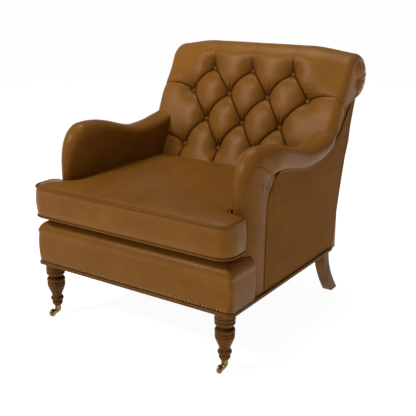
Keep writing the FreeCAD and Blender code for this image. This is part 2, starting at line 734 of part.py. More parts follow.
low = size.base_underside.value
facing = size.facing_back.value
gusset_foot = size.base_depth.value + 13
seam_points = [facing + 1, facing + 24, facing + 58, facing + 110, size.arm_dip_back.value - 60,
               size.arm_dip_back.value + 60, size.base_depth.value - 40, gusset_foot]
panel_seam = [(back, arm_seam(back) - 1.5) for back in seam_points]
gusset_top = (size.scroll_back.value - 51, scroll_foot.value - 25)
rear_points = [(rear_edge(height) - size.panel_thickness.value, height)
               for height in [low + (scroll_foot.value - 12 - low) * number / 5 for number in range(6)]]
panel_points = [(facing, low), (facing, panel_seam[0][1] - 26)] + panel_seam[1:] + [gusset_top]
panel_points += list(reversed(rear_points))

outside = back_layer(0, size.panel_thickness, size.base_underside, size.base_depth,
                     scroll_foot, size.scroll_back - size.panel_thickness)
outside_back = keep("outside_back", sawn("outside_back", outside, -half_width, size.base_width))
doc.recompute()

arm_rail_boxes = {}
arm_forms = {}
facings = []
for side, sign in SIDES.items():
    panel = side_panel(panel_points, sign).cut(outside_back.Shape)
    keep(f"{side}_outside_arm", formed(f"{side}_outside_arm", panel))
    facing_top = arm_seam(facing - 12) - 10
    facing_points = [(size.border_depth.value, low), (facing, low), (facing, facing_top - 16),
                     (size.border_depth.value, arm_seam(size.border_depth.value) - 10)]
    facing_panel = side_panel(facing_points, sign)
    facings.append(facing_panel)
    arm_forms[side] = arm_form(0, sign)
    outer = arm_forms[side].cut(behind_back(tuft_run))
    inner = arm_form(size.hide.value, sign).cut(behind_back(tuft_run)).cut(panel).cut(facing_panel)
    cover = outer.cut(inner).cut(panel).cut(facing_panel)
    keep(f"{side}_arm_cover", formed(f"{side}_arm_cover", cover))
    left, width = from_side(sign, rail_inner, frame_half)
    post_box = Part.makeBox(width.value, size.arm_post_depth.value, size.arm_rail_level.value,
                            Vector(left.value, depth(size.arm_post_back).value, 0))
    rail_box = Part.makeBox(width.value, size.base_depth.value, size.arm_rail_height.value,
                            Vector(left.value, depth(size.arm_post_back).value, size.arm_rail_level.value))
    arm_rail_boxes[side] = rail_box
    keep(f"{side}_arm_pad", formed(f"{side}_arm_pad", inner.cut(post_box).cut(rail_box)))
keep("arm_facings", formed("arm_facings", Part.makeCompound(facings)))


# Back

rail_top = size.deck_height + size.back_rail_height
bottom_rail_front = (size.base_depth + back_slope * (rail_top - size.base_underside) - size.panel_thickness
                     - size.post_inset - size.post_depth - size.back_rail_ease)
keep("back_bottom_rail", block("back_bottom_rail", (-post_inner, depth(bottom_rail_front), size.deck_height),
                               (post_inner * 2, size.back_rail_depth, size.back_rail_height)))
top_rail_level = scroll_foot - size.back_rail_height - 12
keep("back_top_rail", block("back_top_rail", (-post_inner, depth(size.scroll_back - size.post_depth - 12),
                                              top_rail_level),
                            (post_inner * 2, size.back_rail_depth, size.back_rail_height)))
scroll_rail = block("scroll_rail", (-frame_half, depth(size.scroll_back - size.scroll_rail_side / 2),
                                    scroll_rail_low),
                    (frame_half * 2, size.scroll_rail_side, size.scroll_rail_side))
keep("scroll_rail", scroll_rail)

button_plane = size.tuft_depth.value
origin = Vector(0, front.value + crest_foot + button_plane / math.cos(rake), size.deck_height.value)
lay = FreeCAD.Placement(origin, FreeCAD.Rotation(Vector(1, 0, 0), 90 - math.degrees(rake)))

first = size.button_first_height.value
rise = size.button_rise.value
row_heights = [first, first + rise, first + rise * 2, first + rise * 2 + size.button_top_rise.value]
row_counts = [4, 3, 4, 3]


def along(height):
    """The distance up the raked back of a point of this height in the button plane."""
    return (height - size.deck_height.value) / math.cos(rake)


def button_row(number):
    """The buttons of one row, as (across, up the back)."""
    height = row_heights[number]
    spacing = size.button_spacing.value + size.button_spread.value * (height - first)
    count = row_counts[number]
    return [((place_x - (count - 1) / 2) * spacing, along(height)) for place_x in range(count)]


rows = [button_row(number) for number in range(4)]
edge = flank.value
foot = size.tuft_foot.value
head = along(size.scroll_height.value)
cells = []
for number in range(3):
    cells.append([rows[3][number], rows[2][number], rows[1][number], rows[2][number + 1]])
    cells.append([(rows[0][number][0], foot), (rows[0][number + 1][0], foot), rows[0][number + 1],
                  rows[1][number], rows[0][number]])
for number in range(2):
    cells.append([rows[2][number + 1], rows[1][number], rows[0][number + 1], rows[1][number + 1]])
    cells.append([rows[3][number], rows[2][number + 1], rows[3][number + 1],
                  (rows[3][number + 1][0], head), (rows[3][number][0], head)])
for sign in (-1, 1):
    outer = -1 if sign > 0 else 0
    high, low_button = rows[2][outer], rows[0][outer]
    cells.append([high, rows[1][outer], low_button, (sign * edge, low_button[1]), (sign * edge, high[1])])
    cells.append([low_button, (low_button[0], foot), (sign * edge, foot), (sign * edge, low_button[1])])
    cells.append([rows[3][outer], high, (sign * edge, high[1]), (sign * edge, head), (rows[3][outer][0], head)])


def pillow(cell):
    """One stuffed pocket between pleats: rings that close in towards its crest."""
    middle = Vector(sum(point[0] for point in cell) / len(cell), sum(point[1] for point in cell) / len(cell), 0)
    reach = max((Vector(point[0], point[1], 0) - middle).Length for point in cell)
    rings = []
    for share, level in ((1, 0), (0.965, 0.42), (0.86, 0.74), (0.64, 0.93), (0.3, 1)):
        scale = share * (1 - size.pleat_gap.value / reach)
        corners = [middle + (Vector(point[0], point[1], 0) - middle) * scale for point in cell]
        for corner in corners:
            corner.z = size.tuft_depth.value * level
        rings.append(Part.makePolygon(corners + corners[:1]))
    return Part.makeLoft(rings, True, True)


def ring_of_arcs(middle, radius):
    """A circle across the chair's width, in three arcs."""
    spokes = [middle + Vector(0, math.cos(turn), math.sin(turn)) * radius
              for turn in [math.pi / 3 * number for number in range(7)]]
    return Part.Wire([Part.Arc(spokes[number], spokes[number + 1], spokes[number + 2]).toShape()
                      for number in (0, 2, 4)])


scroll_middle = Vector(0, front.value + size.scroll_back.value, size.scroll_height.value)


def scroll_barrels():
    """The stuffed roll: it draws in at the pleats above the top buttons and towards its ends."""
    end_middle = Vector(0, depth(size.scroll_end_back).value, size.scroll_end_height.value)
    full = size.scroll_radius.value
    end = size.scroll_end_radius.value
    pleat = size.scroll_pleat_depth.value
    spacing = rows[3][2][0]
    half = [(0, full - pleat, 0)]
    half += [(spacing * share, full - pleat * drawn_in, 0)
             for share, drawn_in in ((0.06, 0.4), (0.2, 0.08), (0.5, 0), (0.8, 0.08), (0.94, 0.4), (1, 1))]
    run = half_width.value - spacing
    half += [(spacing + run * share, radius, shift)
             for share, radius, shift in ((0.04, full - pleat * 0.4, 0), (0.14, full - pleat * 0.1, 0.02),
                                          (0.4, full - 1, 0.12), (0.65, full - 4, 0.35), (0.85, end + 4, 0.7),
                                          (0.96, end + 1, 0.93), (1, end - 5, 1))]
    mirrored = [(-across, radius, shift) for across, radius, shift in half[:0:-1]]
    rings = []
    for across, radius, shift in mirrored + half:
        place_on = scroll_middle + (end_middle - scroll_middle) * shift
        place_on.x = across
        rings.append(ring_of_arcs(place_on, radius))
    return Part.makeLoft(rings, True, True)


pillows = [pillow(cell) for cell in cells]
arm_face = size.arm_inner.value - size.arm_ease.value
for place_x in (-edge, arm_face):
    arm_room = Part.makeBox(edge - arm_face, along(size.arm_rear_height.value + 2),
                            size.tuft_depth.value * 2, Vector(place_x, 0, 0))
    pillows = [shape.cut(arm_room) for shape in pillows]
slab = Part.makeBox(edge * 2, head - foot, size.tuft_base.value, Vector(-edge, foot, -size.tuft_base.value))
tufted = slab.multiFuse([shape for shape in pillows if shape.Volume > 1])
tufted.Placement = lay

scroll_form = scroll_barrels()


def button():
    """A covered button with a rounded rim, standing on the button plane."""
    shape = Part.makeCylinder(size.button_radius.value, size.button_height.value)
    rim = [edge for edge in shape.Edges if edge.Closed and edge.CenterOfMass.z > size.button_height.value / 2]
    return shape.makeFillet(size.button_height.value * 0.45, rim)


def well(height):
    """The room that the leather leaves round a button."""
    return Part.makeCone(size.button_radius.value + 1, size.button_radius.value * 3, height)


lays = [lay.multiply(FreeCAD.Placement(Vector(across, up, 0), FreeCAD.Rotation()))
        for row in rows for across, up in row]
wells = [well(size.tuft_depth.value * 1.6) for place_on in lays]
tilt = FreeCAD.Rotation(Vector(1, 0, 0), size.scroll_button_angle.value - 90)
for across, up in rows[3]:
    outward = tilt.multVec(Vector(0, 0, 1))
    valley = size.scroll_radius.value - size.scroll_pleat_depth.value
    lays.append(FreeCAD.Placement(scroll_middle + Vector(across, 0, 0) + outward * valley, tilt))
    wells.append(well(size.scroll_pleat_depth.value * 1.6))
button_shapes = [button() for place_on in lays]
for place_on, shape, room in zip(lays, button_shapes, wells):
    shape.Placement = place_on
    room.Placement = place_on
wells = Part.makeCompound(wells)
buttons = Part.makeCompound(button_shapes)

scroll_rail_box = Part.makeBox(frame_half.value * 2, size.scroll_rail_side.value, size.scroll_rail_side.value,
                               Vector(-frame_half.value,
                                      front.value + size.scroll_back.value - size.scroll_rail_side.value / 2,
                                      scroll_rail_low.value))
doc.recompute()
post_shapes = [posts[side].Shape for side in SIDES]
tufted = tufted.cut(scroll_form).cut(wells)
for side in SIDES:
    tufted = tufted.cut(arm_rail_boxes[side]).cut(posts[side].Shape)
scroll = scroll_form.cut(wells).cut(scroll_rail_box).cut(outside_back.Shape)
for shape in post_shapes:
    scroll = scroll.cut(shape)
keep("tufted_back", formed("tufted_back", tufted))
keep("back_scroll", formed("back_scroll", scroll))
keep("tuft_buttons", formed("tuft_buttons", buttons))


web_inset = (size.panel_thickness + size.post_inset + size.post_depth).value
low_level, high_level = size.deck_height.value, scroll_foot.value - 6
web_levels = [low_level + (high_level - low_level) * number / 6 for number in range(7)]
web_rear = [(rear_edge(level) - web_inset, level) for level in web_levels]
web_front = [(back - size.web_thickness.value, level) for back, level in web_rear]
behind_cover = (size.tuft_depth.value + size.tuft_base.value) / math.cos(rake)
pad_points = web_front + [(crest(level) + behind_cover, level) for level in (high_level, low_level)]
corners = [Vector(-flank.value, front.value + back, level) for back, level in pad_points]
pad = Part.Face(Part.makePolygon(corners + corners[:1])).extrude(Vector(flank.value * 2, 0, 0))
for side in SIDES:
    pad = pad.cut(arm_rail_boxes[side]).cut(posts[side].Shape)
keep("back_pad", formed("back_pad", pad))

straps = []
for number in range(5):
    middle_x = post_inner.value * 2 * ((number + 0.5) / 5 - 0.5)
    corners = [Vector(middle_x - size.web_width.value / 2, front.value + back, level)
               for back, level in web_rear + web_front[::-1]]
    straps.append(Part.Face(Part.makePolygon(corners + corners[:1])).extrude(Vector(size.web_width.value, 0, 0)))
keep("back_webbing", formed("back_webbing", Part.makeCompound(straps)))

def side_band():
    """The side of the back above the arm, between the tufts and the rear edge."""
    middle = size.tuft_depth.value * 0.45 / math.cos(rake)
    top = scroll_foot.value + 6
    rear = [(rear_edge(top - 18) - size.panel_thickness.value, top - 18)]
    points = [(gusset_foot, panel_seam[-1][1] + 1), (crest(panel_seam[-1][1]) + middle, panel_seam[-1][1] + 1),
              (crest(top) + middle, top), (gusset_top[0] + 8, top)] + rear + [(gusset_top[0], gusset_top[1] + 1)]
    return points


bands = [side_panel(side_band(), sign).cut(scroll_form).cut(side_panel(panel_points, sign)).cut(arm_forms[side])
         for side, sign in SIDES.items()]
keep("back_side_bands", formed("back_side_bands", Part.makeCompound(bands)))


# Seat cushion

boxing_low = size.deck_height.value + size.cushion_crown.value
boxing_high = boxing_low + size.cushion_boxing.value
welt_half = size.welt_height.value / 2
boxing_clear = size.cushion_clearance.value


def cushion_ring(height, inset):
    """The T outline of the cushion at a height, drawn in by an inset."""
    ear_inset = min(inset, inset * 0.45 + 2)
    outer_x = half_width.value - inset
    neck_x = size.arm_inner.value - boxing_clear - inset
    nose = -size.cushion_nose.value + ear_inset
    ear = -size.cushion_nose.value + size.cushion_ear_depth.value - ear_inset
    rear = crest(height) - boxing_clear - inset
    shrink = max(1 - inset / 110, 0.1)
    corners = [
        (outer_x, nose, size.cushion_corner.value * shrink, 1), (outer_x, ear,
                                                                 size.cushion_ear_corner.value * shrink, 1),
        (neck_x, ear, size.cushion_notch.value + inset * 0.3, -1), (neck_x, rear, 28 * shrink, 1),
    ]
    corners += [(-x, y, radius, turn) for x, y, radius, turn in reversed(corners)]
    points = [Vector(x, front.value + y, height) for x, y, radius, turn in corners]
    edges = []
    starts, stops = [], []
    for number, point in enumerate(points):
        back = (points[number - 1] - point).normalize()
        ahead = (points[(number + 1) % len(points)] - point).normalize()
        radius = corners[number][2]
        starts.append(point + back * radius)
        stops.append(point + ahead * radius)
        middle = point + (back + ahead) * radius * (1 - math.sqrt(0.5))
        edges.append((number, Part.Arc(starts[-1], middle, stops[-1]).toShape()))
    wires = []
    for number, arc in edges:
        wires.append(arc)
        start = stops[number]
        stop = starts[(number + 1) % len(points)] if number + 1 < len(points) else starts[0]
        run = stop - start
        inward = Vector(-run.y, run.x, 0).normalize()
        dip = size.cushion_draw_in.value * min(run.Length / 600, 1)
        wires.append(Part.Arc(start, (start + stop) / 2 + inward * dip, stop).toShape())
    return Part.Wire(wires)


def cushion_form(rings):
    return Part.makeLoft([cushion_ring(height, inset) for height, inset in rings], True, True)


crown = size.cushion_crown.value - welt_half - 0.5
wall = size.cushion_wall.value
crown_steps = ((0, 1), (0.45, 12), (0.78, 34), (0.94, 62), (1, 92))
top_rings = [(boxing_high + welt_half + crown * share, inset) for share, inset in crown_steps]
low_rings = [(boxing_low - welt_half - crown * share, inset) for share, inset in reversed(crown_steps)]
core_rings = [(height + size.hide.value, inset + wall) for height, inset in low_rings[:-1]]
core_rings += [(boxing_low - welt_half + 1, wall + 2), (boxing_high + welt_half - 1, wall + 2)]
core_rings += [(height - size.hide.value, inset + wall) for height, inset in top_rings[1:]]
core = cushion_form(core_rings)
keep("cushion_core", formed("cushion_core", core))
keep("cushion_top_panel", formed("cushion_top_panel", cushion_form(top_rings).cut(core)))
keep("cushion_bottom_panel", formed("cushion_bottom_panel", cushion_form(low_rings).cut(core)))
boxing_rings = [(boxing_low + welt_half, 0), (boxing_high - welt_half, 0)]
boxing = cushion_form(boxing_rings).cut(core)
zip_level = (boxing_low + boxing_high) / 2
zip_rear = front.value + crest(zip_level)
zip_room = Part.makeBox(size.zip_length.value, 40, size.zip_width.value,
                        Vector(-size.zip_length.value / 2, zip_rear - 30, zip_level - size.zip_width.value / 2))
keep("cushion_zip", formed("cushion_zip", boxing.common(zip_room)))
keep("cushion_boxing", formed("cushion_boxing", boxing.cut(zip_room)))
welts = []
for level in (boxing_low, boxing_high):
    ring = [(level - welt_half, 0.5), (level, -0.5), (level + welt_half, 0.5)]
    welts.append(cushion_form(ring).cut(core))
keep("cushion_welts", formed("cushion_welts", Part.makeCompound(welts)))


# Trim

def base_bead(level):
    """A welt round the front and the sides of the base, laid against the cover."""
    proud = half_width.value + size.bead_radius.value
    lead = front.value - size.bead_radius.value
    rear = front.value + size.base_depth.value - size.panel_thickness.value
    points = [Vector(-proud, rear, level), Vector(-proud, lead, level), Vector(proud, lead, level),
              Vector(proud, rear, level)]
    radius = size.border_corner.value + size.bead_radius.value
    return tube(smooth_path(points, [radius, radius]), size.bead_radius.value)


bead_low = size.base_underside.value + size.bead_radius.value
keep("base_welt", formed("base_welt", Part.makeCompound(
    [base_bead(bead_low), base_bead(bead_low + size.bead_radius.value * 2)])))

nails = []
ball = (size.nail_radius.value ** 2 + size.nail_height.value ** 2) / (2 * size.nail_height.value)
latitude = math.degrees(math.asin((ball - size.nail_height.value) / ball))
nail_z = size.base_underside.value + size.nail_level.value + size.bead_radius.value
pitch = size.nail_pitch.value


def nailhead(point, outward):
    return Part.makeSphere(ball, point - outward * (ball - size.nail_height.value), outward, latitude, 90, 360)


front_run = half_width.value - size.border_corner.value - size.nail_radius.value
front_count = int(front_run / pitch)
for number in range(-front_count, front_count + 1):
    nails.append(nailhead(Vector(number * pitch, front.value, nail_z), Vector(0, -1, 0)))
side_count = int((size.border_depth.value - size.border_corner.value - size.nail_radius.value) / pitch)
for sign in (-1, 1):
    for number in range(side_count):
        back = size.border_corner.value + size.nail_radius.value + pitch * number
        nails.append(nailhead(Vector(sign * half_width.value, front.value + back, nail_z), Vector(sign, 0, 0)))
keep("nailhead_trim", formed("nailhead_trim", Part.makeCompound(nails)))

arm_welts = []
for sign in SIDES.values():
    proud = sign * (half_width.value + size.arm_welt_radius.value)
    drop = size.arm_welt_radius.value + 6.5
    way = [(facing, low + size.bead_radius.value * 5), (facing, arm_seam(facing) - 30)]
    way += [(back, arm_seam(back) - drop) for back in (facing + 44, facing + 118, size.arm_dip_back.value - 30,
                                                      size.arm_dip_back.value + 90, gusset_foot - 12)]
    way.append((gusset_top[0] - 6, gusset_top[1] - 8))
    points = [Vector(proud, front.value + back, level) for back, level in way]
    spans = [(b - a).Length for a, b in zip(points, points[1:])]
    radii = []
    for number in range(1, len(points) - 1):
        turn = math.pi - (points[number - 1] - points[number]).getAngle(points[number + 1] - points[number])
        radii.append(0.45 * min(spans[number - 1], spans[number]) / math.tan(turn / 2))
    arm_welts.append(tube(smooth_path(points, radii), size.arm_welt_radius.value))
keep("arm_welts", formed("arm_welts", Part.makeCompound(arm_welts)))



def off_rear(across, height, proud):
    """A point this far behind the outside back, square to its hollow."""
    seat_of = Vector(rear_edge(height), height, 0)
    moved = seat_of + (hollow_middle - seat_of).normalize() * proud
    return Vector(across, front.value + moved.x, moved.y)


edge_welts = []
for sign in (-1, 1):
    levels = (low + 4, (low + scroll_foot.value) / 2, scroll_foot.value - 6)
    start, middle, stop = [off_rear(sign * (half_width.value - size.arm_welt_radius.value), level,
                                    size.arm_welt_radius.value) for level in levels]
    edge_welts.append(tube(Part.Wire([Part.Arc(start, middle, stop).toShape()]), size.arm_welt_radius.value))
keep("outside_back_welts", formed("outside_back_welts", Part.makeCompound(edge_welts)))

doc.recompute()


def check_and_write():
    """Stop on any failed piece, then write each piece to its own file."""
    for thing in doc.Objects:
        if {"Invalid", "Error"} & set(thing.State):
            raise RuntimeError(f"{thing.Name} is {thing.State}")
    for name, thing in pieces.items():
        if thing.Shape.isNull() or not thing.Shape.isValid() or not thing.Shape.Solids:
            raise RuntimeError(f"{name} has no valid shape")
    os.makedirs("parts", exist_ok=True)
    for name, thing in pieces.items():
        thing.Shape.exportStep(f"parts/{name}.step")
        print(name, len(thing.Shape.Solids), round(thing.Shape.Volume / 1000, 1))


check_and_write()
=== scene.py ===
"""Looks of a buttoned leather armchair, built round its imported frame.

Metres, +Z up, the chair faces -Y.  Depths are counted back from the front face of the base.
"""
import json
import math
import bmesh
import bpy
import numpy as np
from bpy.props import FloatProperty, FloatVectorProperty, IntProperty, PointerProperty
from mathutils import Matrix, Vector
from mathutils.geometry import delaunay_2d_cdt


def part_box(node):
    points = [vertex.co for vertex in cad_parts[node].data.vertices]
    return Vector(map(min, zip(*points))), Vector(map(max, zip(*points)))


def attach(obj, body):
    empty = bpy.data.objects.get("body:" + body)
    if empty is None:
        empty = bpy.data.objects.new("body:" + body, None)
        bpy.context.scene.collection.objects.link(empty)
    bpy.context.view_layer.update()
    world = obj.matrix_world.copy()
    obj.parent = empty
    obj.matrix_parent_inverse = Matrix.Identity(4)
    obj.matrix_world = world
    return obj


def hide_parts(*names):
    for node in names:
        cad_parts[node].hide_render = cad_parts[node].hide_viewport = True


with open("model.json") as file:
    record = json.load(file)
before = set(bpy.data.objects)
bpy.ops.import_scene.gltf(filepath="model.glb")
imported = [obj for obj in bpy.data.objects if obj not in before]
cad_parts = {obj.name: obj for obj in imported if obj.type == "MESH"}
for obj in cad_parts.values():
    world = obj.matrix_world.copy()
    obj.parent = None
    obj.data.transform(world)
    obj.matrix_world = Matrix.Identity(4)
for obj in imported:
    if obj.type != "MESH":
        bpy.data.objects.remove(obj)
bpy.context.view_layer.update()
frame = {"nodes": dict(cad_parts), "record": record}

bl_info = {
    "name": "Buttoned armchair",
    "version": (1, 0, 0),
    "blender": (4, 5, 0),
    "location": "3D View > Sidebar > Armchair",
    "description": "Builds the leather, wood and brass of a scroll-back armchair",
    "category": "Object",
}

border_low, border_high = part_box("front_border_cover")
roll_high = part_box("back_scroll")[1]
arm_low, arm_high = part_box("right_arm_cover")

half_width = border_high[0]
base_front = border_low[1]
base_bottom = border_low[2]
deck_level = border_high[2]
border_depth = border_high[1] - base_front
arm_inner, arm_outer = arm_low[0], arm_high[0]
arm_crown = arm_high[2]


def depth(distance):
    """The place along Y of something this far behind the front face of the base."""
    return base_front + distance


# The raked back and its scroll, as (depth, height) of their turning points
back_slope = 0.4374
rake = math.atan(back_slope)
back_foot = np.array([depth(0.526), deck_level])
up_back = np.array([math.sin(rake), math.cos(rake)])
out_back = np.array([-math.cos(rake), math.sin(rake)])
roll_radius = 0.082
roll_middle = np.array([depth(0.809), roll_high[2] - roll_radius])
roll_end_middle = np.array([depth(0.829), 0.778])
roll_end_radius = 0.078
roll_gather = np.array([depth(0.817), 0.772])
roll_join = float((roll_middle - back_foot) @ up_back)
roll_turns = math.radians(246)
roll_finish = roll_join + roll_turns * roll_radius

# Across the back: steady up to the outer buttons, then round the corner and along the flank
steady_across = 0.25
corner_across = 0.34
corner_run = 0.055
flank_run = 0.065
sheet_half = corner_across + corner_run + flank_run
sheet_width = half_width - 0.0015

button_heights = (0.5035, 0.599, 0.6945, 0.7775)
button_counts = (4, 3, 4, 3)
button_spacing = 0.152
button_spread = 0.0496
button_plane = 0.037
roll_button_up = roll_join + math.radians(107.4) * roll_radius


class ArmchairSizes(bpy.types.PropertyGroup):
    """Sizes that change how the upholstery and its trim look."""
    tuft_depth: FloatProperty(name="Tuft depth", description="How deep the buttons sit below the crest",
                              default=0.037, min=0.01, max=0.06, unit="LENGTH")
    pleat_depth: FloatProperty(name="Pleat depth", description="Depth of the narrow fold of a pleat",
                               default=0.0050, min=0.0, max=0.02, unit="LENGTH")
    pillow_depth: FloatProperty(name="Pillow depth", description="How far a pillow falls towards its pleats",
                                default=0.0095, min=0.0, max=0.03, unit="LENGTH")
    button_radius: FloatProperty(name="Button radius", description="Radius of a covered button",
                                 default=0.009, min=0.005, max=0.02, unit="LENGTH")
    cushion_crown: FloatProperty(name="Cushion crown", description="Rise of the cushion's top over its edge",
                                 default=0.026, min=0.0, max=0.06, unit="LENGTH")
    cushion_cap: FloatProperty(name="Cushion swell",
                               description="Most that the filling pushes the leather out",
                               default=0.007, min=0.0, max=0.03, unit="LENGTH")
    welt_radius: FloatProperty(name="Welt radius", description="Radius of the cushion's piping",
                               default=0.0030, min=0.001, max=0.006, unit="LENGTH")
    bead_radius: FloatProperty(name="Bead radius", description="Radius of one bead of the base welt",
                               default=0.0028, min=0.001, max=0.006, unit="LENGTH")
    nail_radius: FloatProperty(name="Nail radius", description="Radius of a nailhead",
                               default=0.0055, min=0.002, max=0.01, unit="LENGTH")
    nail_pitch: FloatProperty(name="Nail pitch", description="Distance from nail to nail",
                              default=0.0124, min=0.008, max=0.03, unit="LENGTH")
    cloth_frames: IntProperty(name="Cloth frames",
                              description="Frames that the cushion's filling gets to swell",
                              default=20, min=2, max=60)


class ArmchairColours(bpy.types.PropertyGroup):
    """Colours of the finishes."""
    leather: FloatVectorProperty(name="Leather", description="Middle tone of the leather", subtype="COLOR",
                                 size=3, default=(0.186, 0.071, 0.0085), min=0, max=1)
    # Rubbed wear and painted highlight: the lighter tone laid on crests and tops
    leather_rubbed_and_highlit: FloatVectorProperty(name="Rubbed leather", description="Tone where the leather is rubbed",
                                      subtype="COLOR", size=3, default=(0.262, 0.108, 0.0225), min=0, max=1)
    # Painted shade: the dark tone mixed into folds, seams, pleats and button wells
    leather_recess_shade: FloatVectorProperty(name="Deep leather", description="Tone in folds and seams",
                                      subtype="COLOR", size=3, default=(0.030, 0.0090, 0.0012), min=0, max=1)
    wood: FloatVectorProperty(name="Wood", description="Stained wood of the legs", subtype="COLOR",
                              size=3, default=(0.118, 0.046, 0.0105), min=0, max=1)
    brass: FloatVectorProperty(name="Brass", description="Aged brass of the casters", subtype="COLOR",
                               size=3, default=(0.36, 0.235, 0.085), min=0, max=1)
    nail: FloatVectorProperty(name="Nailheads", description="Dark bronze of the nails", subtype="COLOR",
                              size=3, default=(0.27, 0.150, 0.058), min=0, max=1)


# Small tools

def smooth(value, low, high):
    """0 up to low, 1 from high, and an even blend between them."""
    share = np.clip((np.asarray(value, dtype=float) - low) / (high - low), 0, 1)
    return share * share * (3 - 2 * share)


def line_gap(points, line):
    """The least distance of each point to a run of straight lines."""
    best = np.full(len(points), 1e9)
    for start, stop in zip(line[:-1], line[1:]):
        run = stop - start
        share = np.clip(((points - start) @ run) / (run @ run), 0, 1)
        best = np.minimum(best, np.linalg.norm(points - (start + share[:, None] * run), axis=1))
    return best


def even_line(points, step):
    """Points every step along a run of straight lines, with both ends kept."""
    points = np.asarray(points, dtype=float)
    along = np.concatenate([[0], np.cumsum(np.linalg.norm(np.diff(points, axis=0), axis=1))])
    places = np.linspace(0, along[-1], max(int(math.ceil(along[-1] / step)), 1) + 1)
    return np.stack([np.interp(places, along, column) for column in points.T], axis=1)


def curved_line(points, step):
    """A smooth curve through points, sampled every step."""
    points = [np.asarray(point, dtype=float) for point in points]
    padded = [2 * points[0] - points[1]] + points + [2 * points[-1] - points[-2]]
    fine = []
    for before, start, stop, after in zip(padded, padded[1:], padded[2:], padded[3:]):
        for share in np.linspace(0, 1, 12, endpoint=False):
            fine.append(0.5 * (2 * start + (stop - before) * share
                               + (2 * before - 5 * start + 4 * stop - after) * share ** 2
                               + (3 * start - before - 3 * stop + after) * share ** 3))
    return even_line(fine + [points[-1]], step)


def grid_faces(rows, columns, closed=False, first=0):
    """Quads of a grid whose points are stored row by row."""
    faces = []
    for row in range(rows - 1):
        for column in range(columns if closed else columns - 1):
            following = (column + 1) % columns
            low, high = first + row * columns, first + (row + 1) * columns
            faces.append((low + column, low + following, high + following, high + column))
    return faces


def slab_faces(rows, columns):
    """Faces of a thin slab: its two sides as grids of points, joined round their rim."""
    size = rows * columns
    ring = list(range(columns)) + [row * columns + columns - 1 for row in range(1, rows)]
    ring += [(rows - 1) * columns + column for column in range(columns - 2, -1, -1)]
    ring += [row * columns for row in range(rows - 2, 0, -1)]
    rim = [(a, b, b + size, a + size) for a, b in zip(ring, ring[1:] + ring[:1])]
    return grid_faces(rows, columns) + grid_faces(rows, columns, first=size) + rim


def close_holes(edit):
    """Close every open rim with a fan to its middle."""
    rim = {edge for edge in edit.edges if edge.is_boundary}
    while rim:
        loop = [rim.pop()]
        front = list(loop[0].verts)
        while front:
            corner = front.pop()
            for edge in corner.link_edges:
                if edge in rim:
                    rim.remove(edge)
                    loop.append(edge)
                    front.append(edge.other_vert(corner))
        corners = {corner for edge in loop for corner in edge.verts}
        middle = edit.verts.new(sum((corner.co for corner in corners), Vector()) / len(corners))
        for edge in loop:
            edit.faces.new((*edge.verts, middle))


def make_mesh(name, points, faces, material, shell=True, weld=1e-6):
    """A finished mesh object at the origin, with its faces outwards."""
    mesh = bpy.data.meshes.new(name)
    mesh.from_pydata([tuple(point) for point in points], [], faces)
    edit = bmesh.new()
    edit.from_mesh(mesh)
    bmesh.ops.remove_doubles(edit, verts=edit.verts, dist=weld)
    if shell:
        close_holes(edit)
    bmesh.ops.recalc_face_normals(edit, faces=edit.faces)
    edit.to_mesh(mesh)
    edit.free()
    mesh.shade_smooth()
    mesh.set_sharp_from_angle(angle=math.radians(50))
    mesh.materials.append(material)
    piece = bpy.data.objects.new(name, mesh)
    bpy.context.scene.collection.objects.link(piece)
    return piece


def paint(piece, name, values):
    """Give each point of a piece a number that its material reads."""
    layer = piece.data.attributes.new(name, "FLOAT", "POINT")
    layer.data.foreach_set("value", np.asarray(values, dtype=np.float32))


def points_of(piece):
    """The points of a piece as an array."""
    points = np.empty(len(piece.data.vertices) * 3)
    piece.data.vertices.foreach_get("co", points)
    return points.reshape(-1, 3)


def move_points(piece, points):
    piece.data.vertices.foreach_set("co", points.ravel())
    piece.data.update()


def settle(piece, nodes=(), body="chair"):
    """Hide the frame parts that a finished piece stands for, and hang it on the body that it rides on."""
    if nodes:
        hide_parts(*nodes)
    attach(piece, body)


def flatten(piece):
    """Turn a piece's modifiers into plain mesh."""
    evaluated = piece.evaluated_get(bpy.context.evaluated_depsgraph_get())
    mesh = bpy.data.meshes.new_from_object(evaluated)
    piece.modifiers.clear()
    piece.data = mesh
    return piece


# Finishes

def new_material(name):
    material = bpy.data.materials.new(name)
    material.use_nodes = True
    nodes, links = material.node_tree.nodes, material.node_tree.links
    shader = nodes["Principled BSDF"]
    place = nodes.new("ShaderNodeTexCoord").outputs["Object"]
    return material, nodes, links, shader, place


def noise(nodes, links, place, scale, detail=4.0, roughness=0.55, stretch=None):
    """A cloudy pattern; stretch gives its scale along X, Y and Z."""
    texture = nodes.new("ShaderNodeTexNoise")
    texture.inputs["Scale"].default_value = scale
    texture.inputs["Detail"].default_value = detail
    texture.inputs["Roughness"].default_value = roughness
    if stretch:
        mapping = nodes.new("ShaderNodeMapping")
        mapping.inputs["Scale"].default_value = stretch
        links.new(place, mapping.inputs["Vector"])
        place = mapping.outputs["Vector"]
    links.new(place, texture.inputs["Vector"])
    return texture.outputs["Fac"]


def ramp(nodes, links, value, stops):
    """Colours or greys spread over a value; a stop is (place, colour)."""
    node = nodes.new("ShaderNodeValToRGB")
    while len(node.color_ramp.elements) < len(stops):
        node.color_ramp.elements.new(0.5)
    for element, (position, colour) in zip(node.color_ramp.elements, stops):
        element.position = position
        element.color = (*colour, 1) if len(colour) == 3 else (colour[0],) * 3 + (1,)
    links.new(value, node.inputs["Fac"])
    return node.outputs["Color"]


def mix(nodes, links, share, first, second, kind="MIX"):
    node = nodes.new("ShaderNodeMix")
    node.data_type = "RGBA"
    node.blend_type = kind
    for socket, value in (("Factor", share), ("A", first), ("B", second)):
        target = [item for item in node.inputs if item.name == socket and item.enabled][0]
        if hasattr(value, "links"):
            links.new(value, target)
        else:
            target.default_value = value if socket == "Factor" else (*value, 1)
    return [item for item in node.outputs if item.enabled][0]


